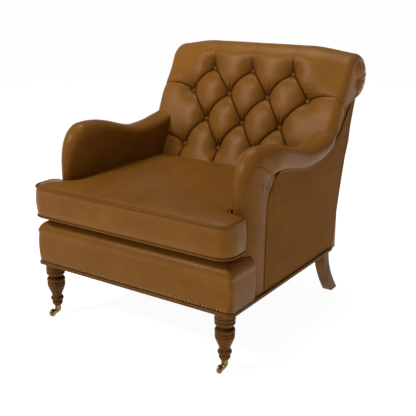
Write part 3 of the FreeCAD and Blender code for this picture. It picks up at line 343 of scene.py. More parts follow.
def math_node(nodes, links, kind, first, second):
    node = nodes.new("ShaderNodeMath")
    node.operation = kind
    for target, value in zip(node.inputs, (first, second)):
        if hasattr(value, "links"):
            links.new(value, target)
        else:
            target.default_value = value
    return node.outputs[0]


def bump(nodes, links, layers):
    """Bumps stacked from (height, strength, distance)."""
    normal = None
    for height, strength, distance in layers:
        node = nodes.new("ShaderNodeBump")
        node.inputs["Strength"].default_value = strength
        node.inputs["Distance"].default_value = distance
        links.new(height, node.inputs["Height"])
        if normal is not None:
            links.new(normal, node.inputs["Normal"])
        normal = node.outputs["Normal"]
    return normal


def scaled(colour, factor):
    return tuple(channel * factor for channel in colour)


def leather_material(name, tone=1.0, grain=1.0, polish=0.0, shine=0.11):
    """Waxed hide: cloudy colour, painted shade in the folds, rubbed wear with painted highlight on crests and
    tops, fine pores and soft creases.
    """
    colours = bpy.context.scene.armchair_colours
    material, nodes, links, shader, place = new_material(name)
    middle = scaled(colours.leather, tone)
    rubbed_and_highlit_tone = scaled(colours.leather_rubbed_and_highlit, tone)
    deep = tuple(colours.leather_recess_shade)
    clouds = noise(nodes, links, place, 9.0, 5.0, 0.6)
    mottle = noise(nodes, links, place, 42.0, 4.0, 0.6)
    colour = ramp(nodes, links, clouds, [(0.28, scaled(middle, 0.88)), (0.52, middle),
                                         (0.76, scaled(middle, 1.14))])
    spots = ramp(nodes, links, mottle, [(0.30, (0.88, 0.86, 0.82)), (0.62, (1.05, 1.04, 1.03))])
    colour = mix(nodes, links, 0.75, colour, spots, "MULTIPLY")
    pores = nodes.new("ShaderNodeTexVoronoi")
    pores.inputs["Scale"].default_value = 900.0
    links.new(place, pores.inputs["Vector"])
    specks = ramp(nodes, links, pores.outputs["Distance"], [(0.0, (0.72,)), (0.35, (1.0,))])
    colour = mix(nodes, links, 0.35, colour, specks, "MULTIPLY")
    # Painted shade: the fold mask mixes the deep tone into folds, seams and button wells
    recess_shade = nodes.new("ShaderNodeAttribute")
    recess_shade.attribute_name = "recess_shade"
    high = nodes.new("ShaderNodeAttribute")
    high.attribute_name = "high"
    # Painted highlight, partly rubbed wear: the high mask lightens crests and tops
    colour = mix(nodes, links, math_node(nodes, links, "MULTIPLY", high.outputs["Fac"], 0.55), colour, rubbed_and_highlit_tone)
    colour = mix(nodes, links, recess_shade.outputs["Fac"], colour, deep)
    links.new(colour, shader.inputs["Base Color"])
    gloss = ramp(nodes, links, mottle, [(0.25, (0.36 - polish,)), (0.75, (0.27 - polish,))])
    links.new(gloss, shader.inputs["Roughness"])
    shader.inputs["Specular IOR Level"].default_value = shine
    shader.inputs["Specular Tint"].default_value = (1.0, 0.80, 0.58, 1)
    creases = noise(nodes, links, place, 70.0, 5.0, 0.62)
    hide = noise(nodes, links, place, 420.0, 3.0, 0.6)
    links.new(bump(nodes, links, [(creases, 0.22 * grain, 0.0016), (hide, 0.26 * grain, 0.0007),
                                  (pores.outputs["Distance"], 0.20 * grain, 0.0004)]),
              shader.inputs["Normal"])
    return material


def wood_material(name, colour, scale=1.0, gloss=0.36):
    """Stained wood with a long grain, with painted shade in the turned grooves."""
    material, nodes, links, shader, place = new_material(name)
    rings = noise(nodes, links, place, 26.0 * scale, 6.0, 0.62, (1.0, 1.0, 0.09))
    fibres = noise(nodes, links, place, 240.0 * scale, 3.0, 0.6, (1.0, 1.0, 0.035))
    tone = ramp(nodes, links, rings, [(0.28, scaled(colour, 0.52)), (0.5, colour),
                                      (0.72, scaled(colour, 1.5))])
    streaks = ramp(nodes, links, fibres, [(0.3, (0.72, 0.70, 0.68)), (0.66, (1.08, 1.06, 1.04))])
    tone = mix(nodes, links, 0.7, tone, streaks, "MULTIPLY")
    # Painted shade: the recess mask darkens the turned grooves
    groove_shade = nodes.new("ShaderNodeAttribute")
    groove_shade.attribute_name = "recess_shade"
    tone = mix(nodes, links, groove_shade.outputs["Fac"], tone, scaled(colour, 0.18))
    links.new(tone, shader.inputs["Base Color"])
    rough = ramp(nodes, links, fibres, [(0.2, (gloss + 0.12,)), (0.8, (gloss - 0.04,))])
    links.new(rough, shader.inputs["Roughness"])
    shader.inputs["Specular IOR Level"].default_value = 0.06
    shader.inputs["Specular Tint"].default_value = (1.0, 0.82, 0.62, 1)
    links.new(bump(nodes, links, [(fibres, 0.16, 0.0005)]), shader.inputs["Normal"])
    return material


def metal_material(name, colour, roughness=0.34, tarnish=0.6):
    """Metal with dull tarnish in patches and fine scratches."""
    material, nodes, links, shader, place = new_material(name)
    patches = noise(nodes, links, place, 120.0, 5.0, 0.65)
    scratches = noise(nodes, links, place, 900.0, 2.0, 0.5, (1.0, 0.25, 1.0))
    tone = ramp(nodes, links, patches, [(0.32, scaled(colour, 1 - tarnish)), (0.62, colour),
                                        (0.85, scaled(colour, 1.35))])
    links.new(tone, shader.inputs["Base Color"])
    shader.inputs["Metallic"].default_value = 1.0
    rough = ramp(nodes, links, patches, [(0.3, (roughness + 0.22,)), (0.7, (roughness,))])
    links.new(rough, shader.inputs["Roughness"])
    links.new(bump(nodes, links, [(scratches, 0.10, 0.0002)]), shader.inputs["Normal"])
    return material


def woven_material(name, colour, threads=1400.0):
    """Plain-woven cloth or webbing."""
    material, nodes, links, shader, place = new_material(name)
    waves = []
    for axis in ("X", "Y"):
        wave = nodes.new("ShaderNodeTexWave")
        wave.bands_direction = axis
        wave.inputs["Scale"].default_value = threads / 20
        links.new(place, wave.inputs["Vector"])
        waves.append(wave.outputs["Fac"])
    weave = math_node(nodes, links, "MULTIPLY", *waves)
    dust = noise(nodes, links, place, 60.0, 3.0)
    tone = ramp(nodes, links, weave, [(0.0, scaled(colour, 0.55)), (0.8, scaled(colour, 1.2))])
    tone = mix(nodes, links, dust, tone, scaled(colour, 1.1))
    links.new(tone, shader.inputs["Base Color"])
    shader.inputs["Roughness"].default_value = 0.9
    links.new(bump(nodes, links, [(weave, 0.4, 0.0004)]), shader.inputs["Normal"])
    return material


# Repeated trim

def tree_socket(tree, label, kind, default=None):
    socket = tree.interface.new_socket(name=label, in_out="INPUT", socket_type=kind)
    if default is not None:
        socket.default_value = default
    return socket


def start_tree(name):
    tree = bpy.data.node_groups.new(name, "GeometryNodeTree")
    tree.interface.new_socket(name="Geometry", in_out="INPUT", socket_type="NodeSocketGeometry")
    tree.interface.new_socket(name="Geometry", in_out="OUTPUT", socket_type="NodeSocketGeometry")
    return tree


def end_tree(tree, geometry, material):
    """Realize what the tree made, give it its finish and send it out."""
    nodes, links = tree.nodes, tree.links
    realize = nodes.new("GeometryNodeRealizeInstances")
    finish = nodes.new("GeometryNodeSetMaterial")
    smooth_node = nodes.new("GeometryNodeSetShadeSmooth")
    finish.inputs["Material"].default_value = material
    links.new(geometry, realize.inputs[0])
    links.new(realize.outputs[0], smooth_node.inputs[0])
    links.new(smooth_node.outputs[0], finish.inputs["Geometry"])
    links.new(finish.outputs[0], nodes.new("NodeGroupOutput").inputs[0])


def stud_tree(name, template, material):
    """Copies of a small stud on points, each turned to its point's facing."""
    tree = start_tree(name)
    scale = tree_socket(tree, "Size", "NodeSocketFloat", 1.0)
    nodes, links = tree.nodes, tree.links
    source = nodes.new("NodeGroupInput")
    stud = nodes.new("GeometryNodeObjectInfo")
    stud.inputs["Object"].default_value = template
    facing = nodes.new("GeometryNodeInputNamedAttribute")
    facing.data_type = "FLOAT_VECTOR"
    facing.inputs["Name"].default_value = "facing"
    turn = nodes.new("FunctionNodeAlignRotationToVector")
    turn.axis = "Z"
    links.new(facing.outputs["Attribute"], turn.inputs["Vector"])
    copies = nodes.new("GeometryNodeInstanceOnPoints")
    links.new(source.outputs["Geometry"], copies.inputs["Points"])
    links.new(stud.outputs["Geometry"], copies.inputs["Instance"])
    links.new(turn.outputs["Rotation"], copies.inputs["Rotation"])
    links.new(source.outputs["Size"], copies.inputs["Scale"])
    end_tree(tree, copies.outputs["Instances"], material)
    return tree, scale


def welt_tree(name, material):
    """A round welt along the edges of the mesh that comes in."""
    tree = start_tree(name)
    radius = tree_socket(tree, "Radius", "NodeSocketFloat", 0.003)
    nodes, links = tree.nodes, tree.links
    source = nodes.new("NodeGroupInput")
    path = nodes.new("GeometryNodeMeshToCurve")
    ring = nodes.new("GeometryNodeCurvePrimitiveCircle")
    ring.inputs["Resolution"].default_value = 10
    sweep = nodes.new("GeometryNodeCurveToMesh")
    sweep.inputs["Fill Caps"].default_value = True
    links.new(source.outputs["Geometry"], path.inputs["Mesh"])
    links.new(source.outputs["Radius"], ring.inputs["Radius"])
    links.new(path.outputs["Curve"], sweep.inputs["Curve"])
    links.new(ring.outputs["Curve"], sweep.inputs["Profile Curve"])
    end_tree(tree, sweep.outputs["Mesh"], material)
    return tree, radius


def run_tree(piece, tree, socket, value):
    """Put a tree on a piece, set its one size and turn the result into plain mesh."""
    modifier = piece.modifiers.new(tree.name, "NODES")
    modifier.node_group = tree
    modifier[socket.identifier] = value
    return flatten(piece)


def studs(name, places, facings, template, material):
    """One mesh of many small studs."""
    mesh = bpy.data.meshes.new(name)
    mesh.from_pydata([tuple(place) for place in places], [], [])
    layer = mesh.attributes.new("facing", "FLOAT_VECTOR", "POINT")
    layer.data.foreach_set("vector", np.asarray(facings, dtype=np.float32).ravel())
    piece = bpy.data.objects.new(name, mesh)
    bpy.context.scene.collection.objects.link(piece)
    tree, size = stud_tree(name + "_copies", template, material)
    return run_tree(piece, tree, size, 1.0)


def welts(name, lines, radius, material, closed=False):
    """One mesh of round welts along lines of points."""
    points, edges = [], []
    for line in lines:
        first = len(points)
        points += [tuple(point) for point in line]
        edges += [(first + number, first + number + 1) for number in range(len(line) - 1)]
        if closed:
            edges.append((len(points) - 1, first))
    mesh = bpy.data.meshes.new(name)
    mesh.from_pydata(points, edges, [])
    piece = bpy.data.objects.new(name, mesh)
    bpy.context.scene.collection.objects.link(piece)
    tree, socket = welt_tree(name + "_sweep", material)
    return run_tree(piece, tree, socket, radius)


def turned_mesh(name, outline, centre, material, sides=48, along="Z"):
    """A closed piece turned about an axis from (radius, place along it)."""
    points = []
    turns = np.linspace(0, 2 * math.pi, sides, endpoint=False)
    for radius, place in outline:
        ring = np.stack([radius * np.cos(turns), radius * np.sin(turns), np.full(sides, place)], axis=1)
        points.append(ring if along == "Z" else ring[:, [2, 0, 1]])
    points = np.concatenate(points) + np.asarray(centre)
    return make_mesh(name, points, grid_faces(len(outline), sides, closed=True), material)


# The buttoned back

def roll_out(turn):
    """The way out of the scroll at an angle round it, as (depth, height)."""
    turn = np.asarray(turn)[..., None]
    return out_back * np.cos(turn) + up_back * np.sin(turn)


def back_place(across, up, proud):
    """Points of the leather of the back: across and up are measured along it, proud is out of its crest."""
    side, reach = np.sign(across), np.abs(across)
    round_by = 0.029 + (0.022 - 0.029) * smooth(up, 0.40, 0.56)
    inner_edge = sheet_width - round_by
    spread = steady_across + (reach - steady_across) / (corner_across - steady_across) * (
        inner_edge - steady_across)
    x = np.where(reach < steady_across, reach, np.minimum(spread, inner_edge))
    turn = np.clip((reach - corner_across) / corner_run, 0, 1) * math.pi / 2
    x = x + round_by * np.sin(turn)
    recess = round_by * (1 - np.cos(turn))
    flank = np.clip((reach - corner_across - corner_run) / flank_run, 0, 1)[:, None]
    end = smooth(x, 0.20, half_width + 0.02)[:, None]
    middle = roll_middle + (roll_end_middle - roll_middle) * end
    radius = roll_radius + (roll_end_radius - roll_radius) * end[:, 0]
    join = (middle - back_foot) @ up_back
    stand = (middle - back_foot) @ out_back + radius
    below = up < roll_join
    climb = up + (join - roll_join) * smooth(up, 0.30, roll_join)
    flat = back_foot + up_back * climb[:, None] + out_back * (stand * smooth(up, 0.36, roll_join))[:, None]
    round_turn = np.clip((up - roll_join) / roll_radius, 0, None)
    outward = roll_out(round_turn)
    base = np.where(below[:, None], flat, middle + outward * radius[:, None])
    rim = base - outward * recess[:, None]
    point = rim + outward * (proud * np.cos(turn))[:, None]
    flank_depth = 0.105 + (0.049 - 0.105) * np.clip((up - 0.30) / (roll_join - 0.30), 0, 1)
    far = rim - outward * flank_depth[:, None]
    gather = smooth(up, roll_join - 0.05, roll_join)[:, None]
    far = far + (roll_gather - far) * gather
    point = point + (far - rim) * flank
    puff = 0.011 * np.sin(math.pi * flank[:, 0]) * smooth(up, roll_join - 0.02, roll_join + 0.09)
    x = x + proud * np.sin(turn) * (1 - 0.6 * flank[:, 0]) + puff
    return np.stack([side * x, point[:, 0], point[:, 1]], axis=1)


def button_rows():
    """The buttons of the raked back, row by row, as (across, up)."""
    rows = []
    for height, count in zip(button_heights, button_counts):
        spacing = button_spacing + button_spread * (height - button_heights[0])
        up = (height - deck_level) / math.cos(rake) + button_plane * math.tan(rake)
        rows.append([np.array([(number - (count - 1) / 2) * spacing, up]) for number in range(count)])
    return rows


def pleat_plan():
    """Named places of the tufting and the cells between its pleats."""
    rows = button_rows()
    place = {("button", row, number): spot for row, spots in enumerate(rows)
             for number, spot in enumerate(spots)}
    for number in range(4):
        place["foot", number] = np.array([rows[0][number][0], 0.0])
    for number in range(3):
        place["top", number] = np.array([rows[3][number][0], roll_join])
    for side, mark in ((-1, "left"), (1, "right")):
        for row in (0, 2):
            place["edge", mark, row] = np.array([side * sheet_half, rows[row][0][1] - 0.022])
        place["low", mark] = np.array([side * sheet_half, 0.0])
        place["high", mark] = np.array([side * sheet_half, roll_join])
    button = lambda row, number: ("button", row, number)
    cells = []
    for n in range(3):
        cells.append([button(3, n), button(2, n), button(1, n), button(2, n + 1)])
        cells.append([("foot", n), ("foot", n + 1), button(0, n + 1), button(1, n), button(0, n)])
    for n in range(2):
        cells.append([button(2, n + 1), button(1, n), button(0, n + 1), button(1, n + 1)])
        cells.append([button(3, n), button(2, n + 1), button(3, n + 1), ("top", n + 1), ("top", n)])
    for mark, four, three in (("left", 0, 0), ("right", 3, 2)):
        cells.append([button(2, four), button(1, three), button(0, four),
                      ("edge", mark, 0), ("edge", mark, 2)])
        cells.append([button(0, four), ("foot", four), ("low", mark), ("edge", mark, 0)])
        cells.append([button(3, three), button(2, four), ("edge", mark, 2), ("high", mark), ("top", three)])
    return rows, place, cells


grid_step = 0.0026
pleat_bow = 0.008


def is_pleat(first, second):
    kinds = {first[0], second[0]}
    return "button" in kinds and kinds <= {"button", "foot", "top", "edge"}


def pleat_line(first, second, place):
    """The run of one edge of a cell; the side pleats rise before they turn the corner."""
    start, stop = place[first], place[second]
    if {first[0], second[0]} == {"button", "edge"}:
        button, edge = (start, stop) if first[0] == "button" else (stop, start)
        side = np.sign(edge[0])
        mids = [button + np.array([side * run, rise])
                for run, rise in ((0.026, 0.014), (0.060, 0.022), (0.100, 0.022), (0.140, 0.008))]
        line = curved_line([button, *mids, edge], grid_step)
        return line if first[0] == "button" else line[::-1]
    line = even_line([start, stop], grid_step)
    if first[0] == second[0] == "button":
        share = np.linspace(0, 1, len(line))
        line[:, 1] += pleat_bow * 4 * share * (1 - share)
    return line


def back_field(spots, lines, rows, sizes):
    """How far the leather is drawn in at each spot, and how much painted shade it gets for lying in a fold."""
    gap = np.min([line_gap(spots, line) for line in lines], axis=0)
    up = spots[:, 1]
    firm = 1 - 0.93 * smooth(up, 0.468, 0.558)
    firm = firm * (1 - 0.74 * smooth(np.abs(spots[:, 0]), 0.255, 0.35)) * smooth(up, 0.02, 0.10)
    shoulder = np.sqrt(1 - (1 - np.clip(gap / 0.020, 0, 1)) ** 2)
    fall = 0.55 * (1 - shoulder) + 0.45 * np.exp(-gap / 0.028)
    drawn = firm * (sizes.pleat_depth * np.exp(-gap / 0.0035) + sizes.pillow_depth * fall)
    # Painted shade along the pleats; the loop below adds it round the buttons and in their wrinkles
    recess_shade = 0.85 * np.sqrt(firm) * np.exp(-gap / 0.0018)
    well = sizes.tuft_depth - sizes.pleat_depth - sizes.pillow_depth
    for row, buttons in enumerate(rows):
        for number, spot in enumerate(buttons):
            away = spots - spot
            reach = np.linalg.norm(away, axis=1)
            near = reach < 0.14
            reach, away = reach[near], away[near]
            drawn[near] += (well + 0.003) * np.exp(-(reach / 0.0315) ** 1.3)
            recess_shade[near] = np.maximum(recess_shade[near], 0.80 * np.exp(-(reach / 0.0135) ** 2))
            heading = np.arctan2(away[:, 0], away[:, 1])
            window = np.exp(-((reach - 0.026) / 0.016) ** 2)
            upward = np.exp(-(heading / 0.66) ** 4) + \
                0.30 * np.exp(-((np.abs(heading) - math.pi) / 0.45) ** 2)
            phase = row * 1.7 + number * 2.3
            creases = (1 - np.abs(np.sin(heading * 6.4 + phase))) ** 2
            drawn[near] += 0.0068 * (creases - 0.30) * window * upward
            recess_shade[near] = np.maximum(recess_shade[near], 0.6 * creases ** 2 * window * upward)
    for across, _ in rows[3]:
        away = spots - np.array([across, roll_button_up])
        reach = np.linalg.norm(away, axis=1)
        drawn += 0.008 * np.exp(-(reach / 0.016) ** 1.3)
        recess_shade = np.maximum(recess_shade, 0.7 * np.exp(-(reach / 0.014) ** 2))
    return drawn, np.clip(recess_shade, 0, 1)


def build_back(sizes, material):
    """The buttoned back and its scroll as one stuffed form."""
    rows, place, cells = pleat_plan()
    lines, seen = [], {}
    for cell in cells:
        for first, second in zip(cell, cell[1:] + cell[:1]):
            if (second, first) in seen:
                seen[first, second] = seen[second, first][::-1]
            elif (first, second) not in seen:
                seen[first, second] = pleat_line(first, second, place)
                if is_pleat(first, second):
                    line = seen[first, second]
                    lines.append(np.concatenate([line[:-1:3], line[-1:]]))
    for number in range(3):
        lines.append(np.array([place["top", number], [place["top", number][0], roll_finish]]))
    shares = (1, 0.99, 0.972, 0.945, 0.91, 0.86, 0.80, 0.72, 0.62, 0.50, 0.37, 0.24, 0.11)
    spots, faces = [], []
    for cell in cells:
        rim = np.concatenate([seen[pair][:-1] for pair in zip(cell, cell[1:] + cell[:1])])
        middle = rim.mean(axis=0)
        first = sum(len(part) for part in spots)
        spots += [middle + (rim - middle) * share for share in shares] + [middle[None]]
        faces += grid_faces(len(shares), len(rim), closed=True, first=first)
        last = first + (len(shares) - 1) * len(rim)
        faces += [(last + n, last + (n + 1) % len(rim), first + len(shares) * len(rim))
                  for n in range(len(rim))]
    tops = [("high", "left"), ("top", 0), ("top", 1), ("top", 2), ("high", "right")]
    columns = np.concatenate([even_line([place[a], place[b]], grid_step)[:-1] for a, b in zip(tops, tops[1:])]
                             + [place["high", "right"][None]])[:, 0]
    levels = np.linspace(roll_join, roll_finish, int((roll_finish - roll_join) / 0.0042))
    first = sum(len(part) for part in spots)
    spots += [np.stack([columns, np.full(len(columns), level)], axis=1) for level in levels]
    faces += grid_faces(len(levels), len(columns), first=first)
    spots = np.concatenate(spots)
    drawn, recess_shade = back_field(spots, lines, rows, sizes)
    reach = np.abs(spots[:, 0])
    turn = np.clip((spots[:, 1] - roll_join) / roll_radius, 0, None)
    flank = np.clip((reach - corner_across - corner_run) / flank_run, 0, 1)
    gathers = np.sin(turn * 9 + 0.6) * np.sin(math.pi * np.sqrt(flank)) * \
        smooth(spots[:, 1], roll_join + 0.03, roll_join + 0.08)
    drawn = drawn + 0.0022 * gathers
    # Painted shade where the flank gathers into the end of the scroll
    recess_shade = np.maximum(recess_shade, 0.75 * smooth(flank, 0.86, 1.0)
                      * smooth(spots[:, 1], roll_join - 0.03, roll_join + 0.02))
    points = back_place(spots[:, 0], spots[:, 1], -drawn)
    # Painted highlight, partly rubbed wear, on the pillow crests, where the leather is drawn in least
    piece = make_sheet("buttoned_back", points, faces, material, {"recess_shade": recess_shade, "high": 1 - drawn / 0.012})
    return piece, rows


def make_sheet(name, points, faces, material, layers):
    """A shell from points that repeat along its seams, with painted layers."""
    _, index, inverse = np.unique(np.round(points, 5), axis=0, return_index=True, return_inverse=True)
    inverse = inverse.ravel()
    kept = []
    for face in faces:
        corners = list(dict.fromkeys(int(inverse[corner]) for corner in face))
        if len(corners) > 2:
            kept.append(corners)
    piece = make_mesh(name, points[index], kept, material, weld=1e-7)
    added = len(piece.data.vertices) - len(index)
    for layer, values in layers.items():
        paint(piece, layer, np.concatenate([np.clip(values[index], 0, 1), np.zeros(max(added, 0))]))
    return piece


# Arms and side panels

arm_front, arm_rear = 0.092, 0.700


def arm_top(back):
    """The height of the top of the arm at a distance behind the front of the base."""
    crown, dip, rear = 0.190, 0.478, 0.668
    nose_foot, dip_height, rear_height, fullness = 0.478, 0.594, 0.622, 2.15
    ahead = np.clip((crown - back) / (crown - arm_front), 0, 1)
    nose = nose_foot + (arm_crown - nose_foot) * (1 - ahead ** fullness) ** (1 / fullness)
    fall = np.clip((back - crown) / (dip - crown), 0, 1)
    middle = arm_crown + (dip_height - arm_crown) * (1 - np.cos(math.pi * fall ** 1.25)) / 2
    climb = dip_height + (rear_height - dip_height) * np.clip((back - dip) / (rear - dip), 0, 1.2) ** 2
    return np.where(back < crown, nose, np.where(back < dip, middle, climb))


def arm_seam(back):
    """The height of the seam under the roll of the arm."""
    drop = np.interp(back, (0.20, 0.284, 0.464, 0.56, 0.631, 0.676, 0.70),
                     (0.088, 0.076, 0.059, 0.056, 0.043, 0.0245, 0.014))
    return arm_top(back) - drop


facing_seam = [(0.192, base_bottom + 0.014), (0.1945, 0.300), (0.198, 0.400), (0.201, 0.454), (0.206, 0.488),
               (0.216, 0.509), (0.229, 0.522), (0.244, 0.5505)]
gusset_seam = [(0.676, 0.5975), (0.696, 0.611), (0.717, 0.640), (0.743, 0.668), (0.762, 0.692)]


def roll_seam_points():
    """The seam under the roll, from the facing to the foot of the gusset."""
    return [(back, float(arm_seam(back))) for back in np.linspace(0.270, 0.655, 12)]


def rear_edge(height):
    """How far back the rear edge of the side lies at a height."""
    low, high = (0.668, 0.188), (0.806, 0.715)
    share = (height - low[1]) / (high[1] - low[1])
    return low[0] + (high[0] - low[0]) * share - 4 * 0.0118 * share * (1 - share)


def arm_section(back, side):
    """Points across the arm at one depth, from the outer foot over the roll to the inner foot."""
    share = np.clip((back - arm_front) / 0.090, 0, 1)
    lean = math.sqrt(max(1 - (1 - share) ** 2, 0.0))
    pinch = float(smooth(back, 0.60, 0.685))
    flank_full = half_width - 0.002
    outer_full = flank_full + (arm_outer + 0.003 - flank_full) * (1 - pinch) * float(smooth(back, 0.15, 0.27))
    middle = (arm_inner + flank_full) / 2
    inner, flank, bulge = (middle + (full - middle) * lean for full in (arm_inner, flank_full, outer_full))
    top = float(arm_top(back))
    seam = min(float(arm_seam(back)), top - 0.012)
    widest = seam + (top - seam) * 0.46
    crown = (inner + bulge) / 2
    foot = base_bottom + 0.002 if back > border_depth - 0.004 else deck_level - 0.004
    points = [(flank, height) for height in np.linspace(foot, seam - 0.004, 30)]
    for angle in np.linspace(-80, 0, 9):
        turn = math.radians(angle)
        points.append((flank + (bulge - flank) * math.cos(turn), widest + (widest - seam) * math.sin(turn)))
    for angle in np.linspace(6, 174, 40):
        turn = math.radians(angle)
        reach = bulge - crown if angle < 90 else crown - inner
        points.append((crown + reach * math.copysign(abs(math.cos(turn)) ** 0.92, math.cos(turn)),
                       widest + (top - widest) * math.sin(turn) ** 0.92))
    points += [(inner, height) for height in np.linspace(widest, deck_level - 0.004, 16)]
    return [(side * x, depth(back), height) for x, height in points]


def press_lines(piece, lines, width, deep):
    """Press narrow folds into a piece along lines."""
    points = points_of(piece)
    press_folds(piece, np.min([line_gap(points, line) for line in lines], axis=0), width, deep)


def press_folds(piece, gap, width, deep):
    """Press a fold where the gap to it is small, and paint shade into it."""
    points = points_of(piece)
    normals = np.empty(len(points) * 3)
    piece.data.vertices.foreach_get("normal", normals)
    drop = deep * np.exp(-(gap / width) ** 2) - 0.35 * deep * np.exp(-((gap - 2.2 * width) / width) ** 2)
    move_points(piece, points - normals.reshape(-1, 3) * drop[:, None])
    paint(piece, "recess_shade", 0.8 * np.exp(-(gap / (0.55 * width)) ** 2))


def build_arm(side, material):
    """A padded arm with the small pleats of its front."""
    nose = arm_front + 0.098 * (1 - np.cos(np.linspace(0.02, 1, 56) * math.pi / 2))
    stations = np.concatenate([nose, np.linspace(nose[-1], arm_rear, 110)[1:]])
    sections = [arm_section(back, side) for back in stations]
    name = "right_arm" if side > 0 else "left_arm"
    piece = make_mesh(name, [point for section in sections for point in section],
                      grid_faces(len(sections), len(sections[0]), closed=True), material)
    pleats = [curved_line([(depth(back), height) for back, height in pleat], 0.004)
              for pleat in (((0.150, 0.602), (0.168, 0.597), (0.192, 0.581), (0.232, 0.553)),
                            ((0.160, 0.541), (0.188, 0.532), (0.219, 0.520)))]
    points = points_of(piece)
    outer = side * points[:, 0] > (arm_inner + half_width) / 2
    gap = np.min([line_gap(points[:, 1:], line) for line in pleats], axis=0)
    press_folds(piece, np.where(outer, gap, 1), 0.0034, 0.0022)
    # Painted highlight, partly rubbed wear: lighter towards the top of the arm
    paint(piece, "high", 0.35 * smooth(points_of(piece)[:, 2], 0.50, 0.64))
    return piece


def coons(left, right, low, high, rows, columns):
    """A grid over four border lines that meet at their ends."""
    resample = lambda line, count: np.stack(
        [np.interp(np.linspace(0, 1, count), np.linspace(0, 1, len(line)), column)
         for column in line.T], axis=1)
    left, right = resample(left, rows), resample(right, rows)
    low, high = resample(low, columns), resample(high, columns)
    s = np.linspace(0, 1, rows)[:, None, None]
    t = np.linspace(0, 1, columns)[None, :, None]
    edges = left[:, None] * (1 - t) + right[:, None] * t + low[None] * (1 - s) + high[None] * s
    corners = (low[0] * (1 - s) * (1 - t) + low[-1] * (1 - s) * t + high[0] * s * (1 - t) + high[-1] * s * t)
    return edges - corners


def build_side_panel(side, material):
    """The outside arm: a taut panel between the facing, the roll, the gusset and the rear edge."""
    left = curved_line(facing_seam, 0.006)
    high = curved_line([facing_seam[-1]] + roll_seam_points() + gusset_seam + [(0.790, 0.7035)], 0.006)
    low = np.array([facing_seam[0], (rear_edge(base_bottom), base_bottom + 0.002)])
    right = np.array([(rear_edge(height), height) for height in np.linspace(low[-1][1], 0.7035, 24)])
    low[0][1] = low[-1][1]
    left[0][1] = low[0][1]
    high[-1] = right[-1]
    rows, columns = 70, 84
    flat = coons(left, right, low, high, rows, columns)
    s = np.linspace(0, 1, rows)[:, None]
    t = np.linspace(0, 1, columns)[None]
    edge = np.minimum.reduce([s + 0 * t, 1 - s + 0 * t, t + 0 * s, 1 - t + 0 * s])
    swell = 0.0004 + 0.0030 * (1 - (1 - np.clip(edge / 0.22, 0, 1)) ** 2)
    outer = np.stack([side * (half_width - 0.0012 + swell), depth(flat[..., 0]), flat[..., 1]], axis=-1)
    inner = outer.copy()
    inner[..., 0] = side * (half_width - 0.005)
    points = np.concatenate([outer.reshape(-1, 3), inner.reshape(-1, 3)])
    faces = slab_faces(rows, columns)
    return make_mesh("right_outside_panel" if side > 0 else "left_outside_panel", points, faces, material)


def side_line(points, side, proud, step=0.006):
    """A line on the side of the chair from (depth, height) points."""
    return [(side * (half_width + proud), depth(back), height) for back, height in curved_line(points, step)]


# Seat border, deck and cushion

def rounded_loop(corners, parts=10):
    """A closed outline through (x, y, radius) corners, each rounded in so many parts."""
    count = len(corners)
    loop = []
    for number, (x, y, radius) in enumerate(corners):
        here = np.array([x, y])
        before = np.array(corners[number - 1][:2]) - here
        after = np.array(corners[(number + 1) % count][:2]) - here
        before, after = before / np.linalg.norm(before), after / np.linalg.norm(after)
        angle = math.acos(float(np.clip(before @ after, -1, 1)))
        reach = radius / math.tan(angle / 2)
        centre = here + (before + after) / np.linalg.norm(before + after) * radius / math.sin(angle / 2)
        start, stop = here + before * reach, here + after * reach
        first = math.atan2(*(start - centre)[::-1])
        turn = (math.atan2(*(stop - centre)[::-1]) - first + math.pi) % (2 * math.pi) - math.pi
        for part in range(parts + 1):
            swing = first + turn * part / parts
            loop.append(centre + radius * np.array([math.cos(swing), math.sin(swing)]))
    return np.array(loop + loop[:1])


def border_loop(inset, bulge=0.0):
    """The outline of the seat border, open side at the back."""
    half = half_width - inset + bulge
    front = base_front + inset - bulge * 0.6
    rear = base_front + border_depth
    corner = max(0.012 - inset * 0.1, 0.006)
    return even_line(rounded_loop([(-half, front, corner), (half, front, corner), (half, rear, 0.003),
                                   (-half, rear, 0.003)]), 0.0065)


def same_count(loops, count):
    """Closed loops resampled to one number of points."""
    result = []
    for loop in loops:
        along = np.concatenate([[0], np.cumsum(np.linalg.norm(np.diff(loop, axis=0), axis=1))])
        places = np.linspace(0, along[-1], count, endpoint=False)
        result.append(np.stack([np.interp(places, along, column) for column in loop.T], axis=1))
    return result


def build_border(material):
    """The stuffed border under the cushion, with a seam up each front corner."""
    top_round = 0.042
    levels, insets, bulges = [base_bottom + 0.001, base_bottom + 0.010], [0.004, 0.0015], [0, 0.0005]
    for height in np.linspace(base_bottom + 0.020, deck_level - top_round, 12):
        share = (height - base_bottom) / (deck_level - top_round - base_bottom)
        levels.append(height)
        insets.append(0.0)
        bulges.append(0.0055 * math.sin(math.pi * min(share * 0.80 + 0.06, 1)))
    for angle in np.linspace(6, 90, 12):
        turn = math.radians(angle)
        levels.append(deck_level - top_round * (1 - math.sin(turn)))
        insets.append(top_round * (1 - math.cos(turn)))
        bulges.append(0.0052 * math.cos(turn))
    for inset in (0.048, 0.054, 0.060):
        levels.append(deck_level + 0.0004)
        insets.append(inset)
        bulges.append(0)
    loops = same_count([border_loop(inset, bulge) for inset, bulge in zip(insets, bulges)], 300)
    points = [(x, y, level) for loop, level in zip(loops, levels) for x, y in loop]
    piece = make_mesh("seat_border", points, grid_faces(len(loops), 300, closed=True), material)
    seams = []
    for side in (-1, 1):
        corner = side * (half_width - 0.002)
        seams.append(np.array([(corner, base_front + 0.001, base_bottom),
                               (corner + side * 0.004, base_front - 0.004, 0.26),
                               (corner, base_front + 0.001, 0.303),
                               (corner - side * 0.013, base_front + 0.013, 0.3305),
                               (corner - side * 0.034, base_front + 0.034, 0.3425)]))
    press_lines(piece, seams, 0.0022, 0.0016)
    # Painted highlight, partly rubbed wear: lighter along the top of the border
    paint(piece, "high", 0.6 * smooth(points_of(piece)[:, 2], 0.27, 0.335))
    return piece


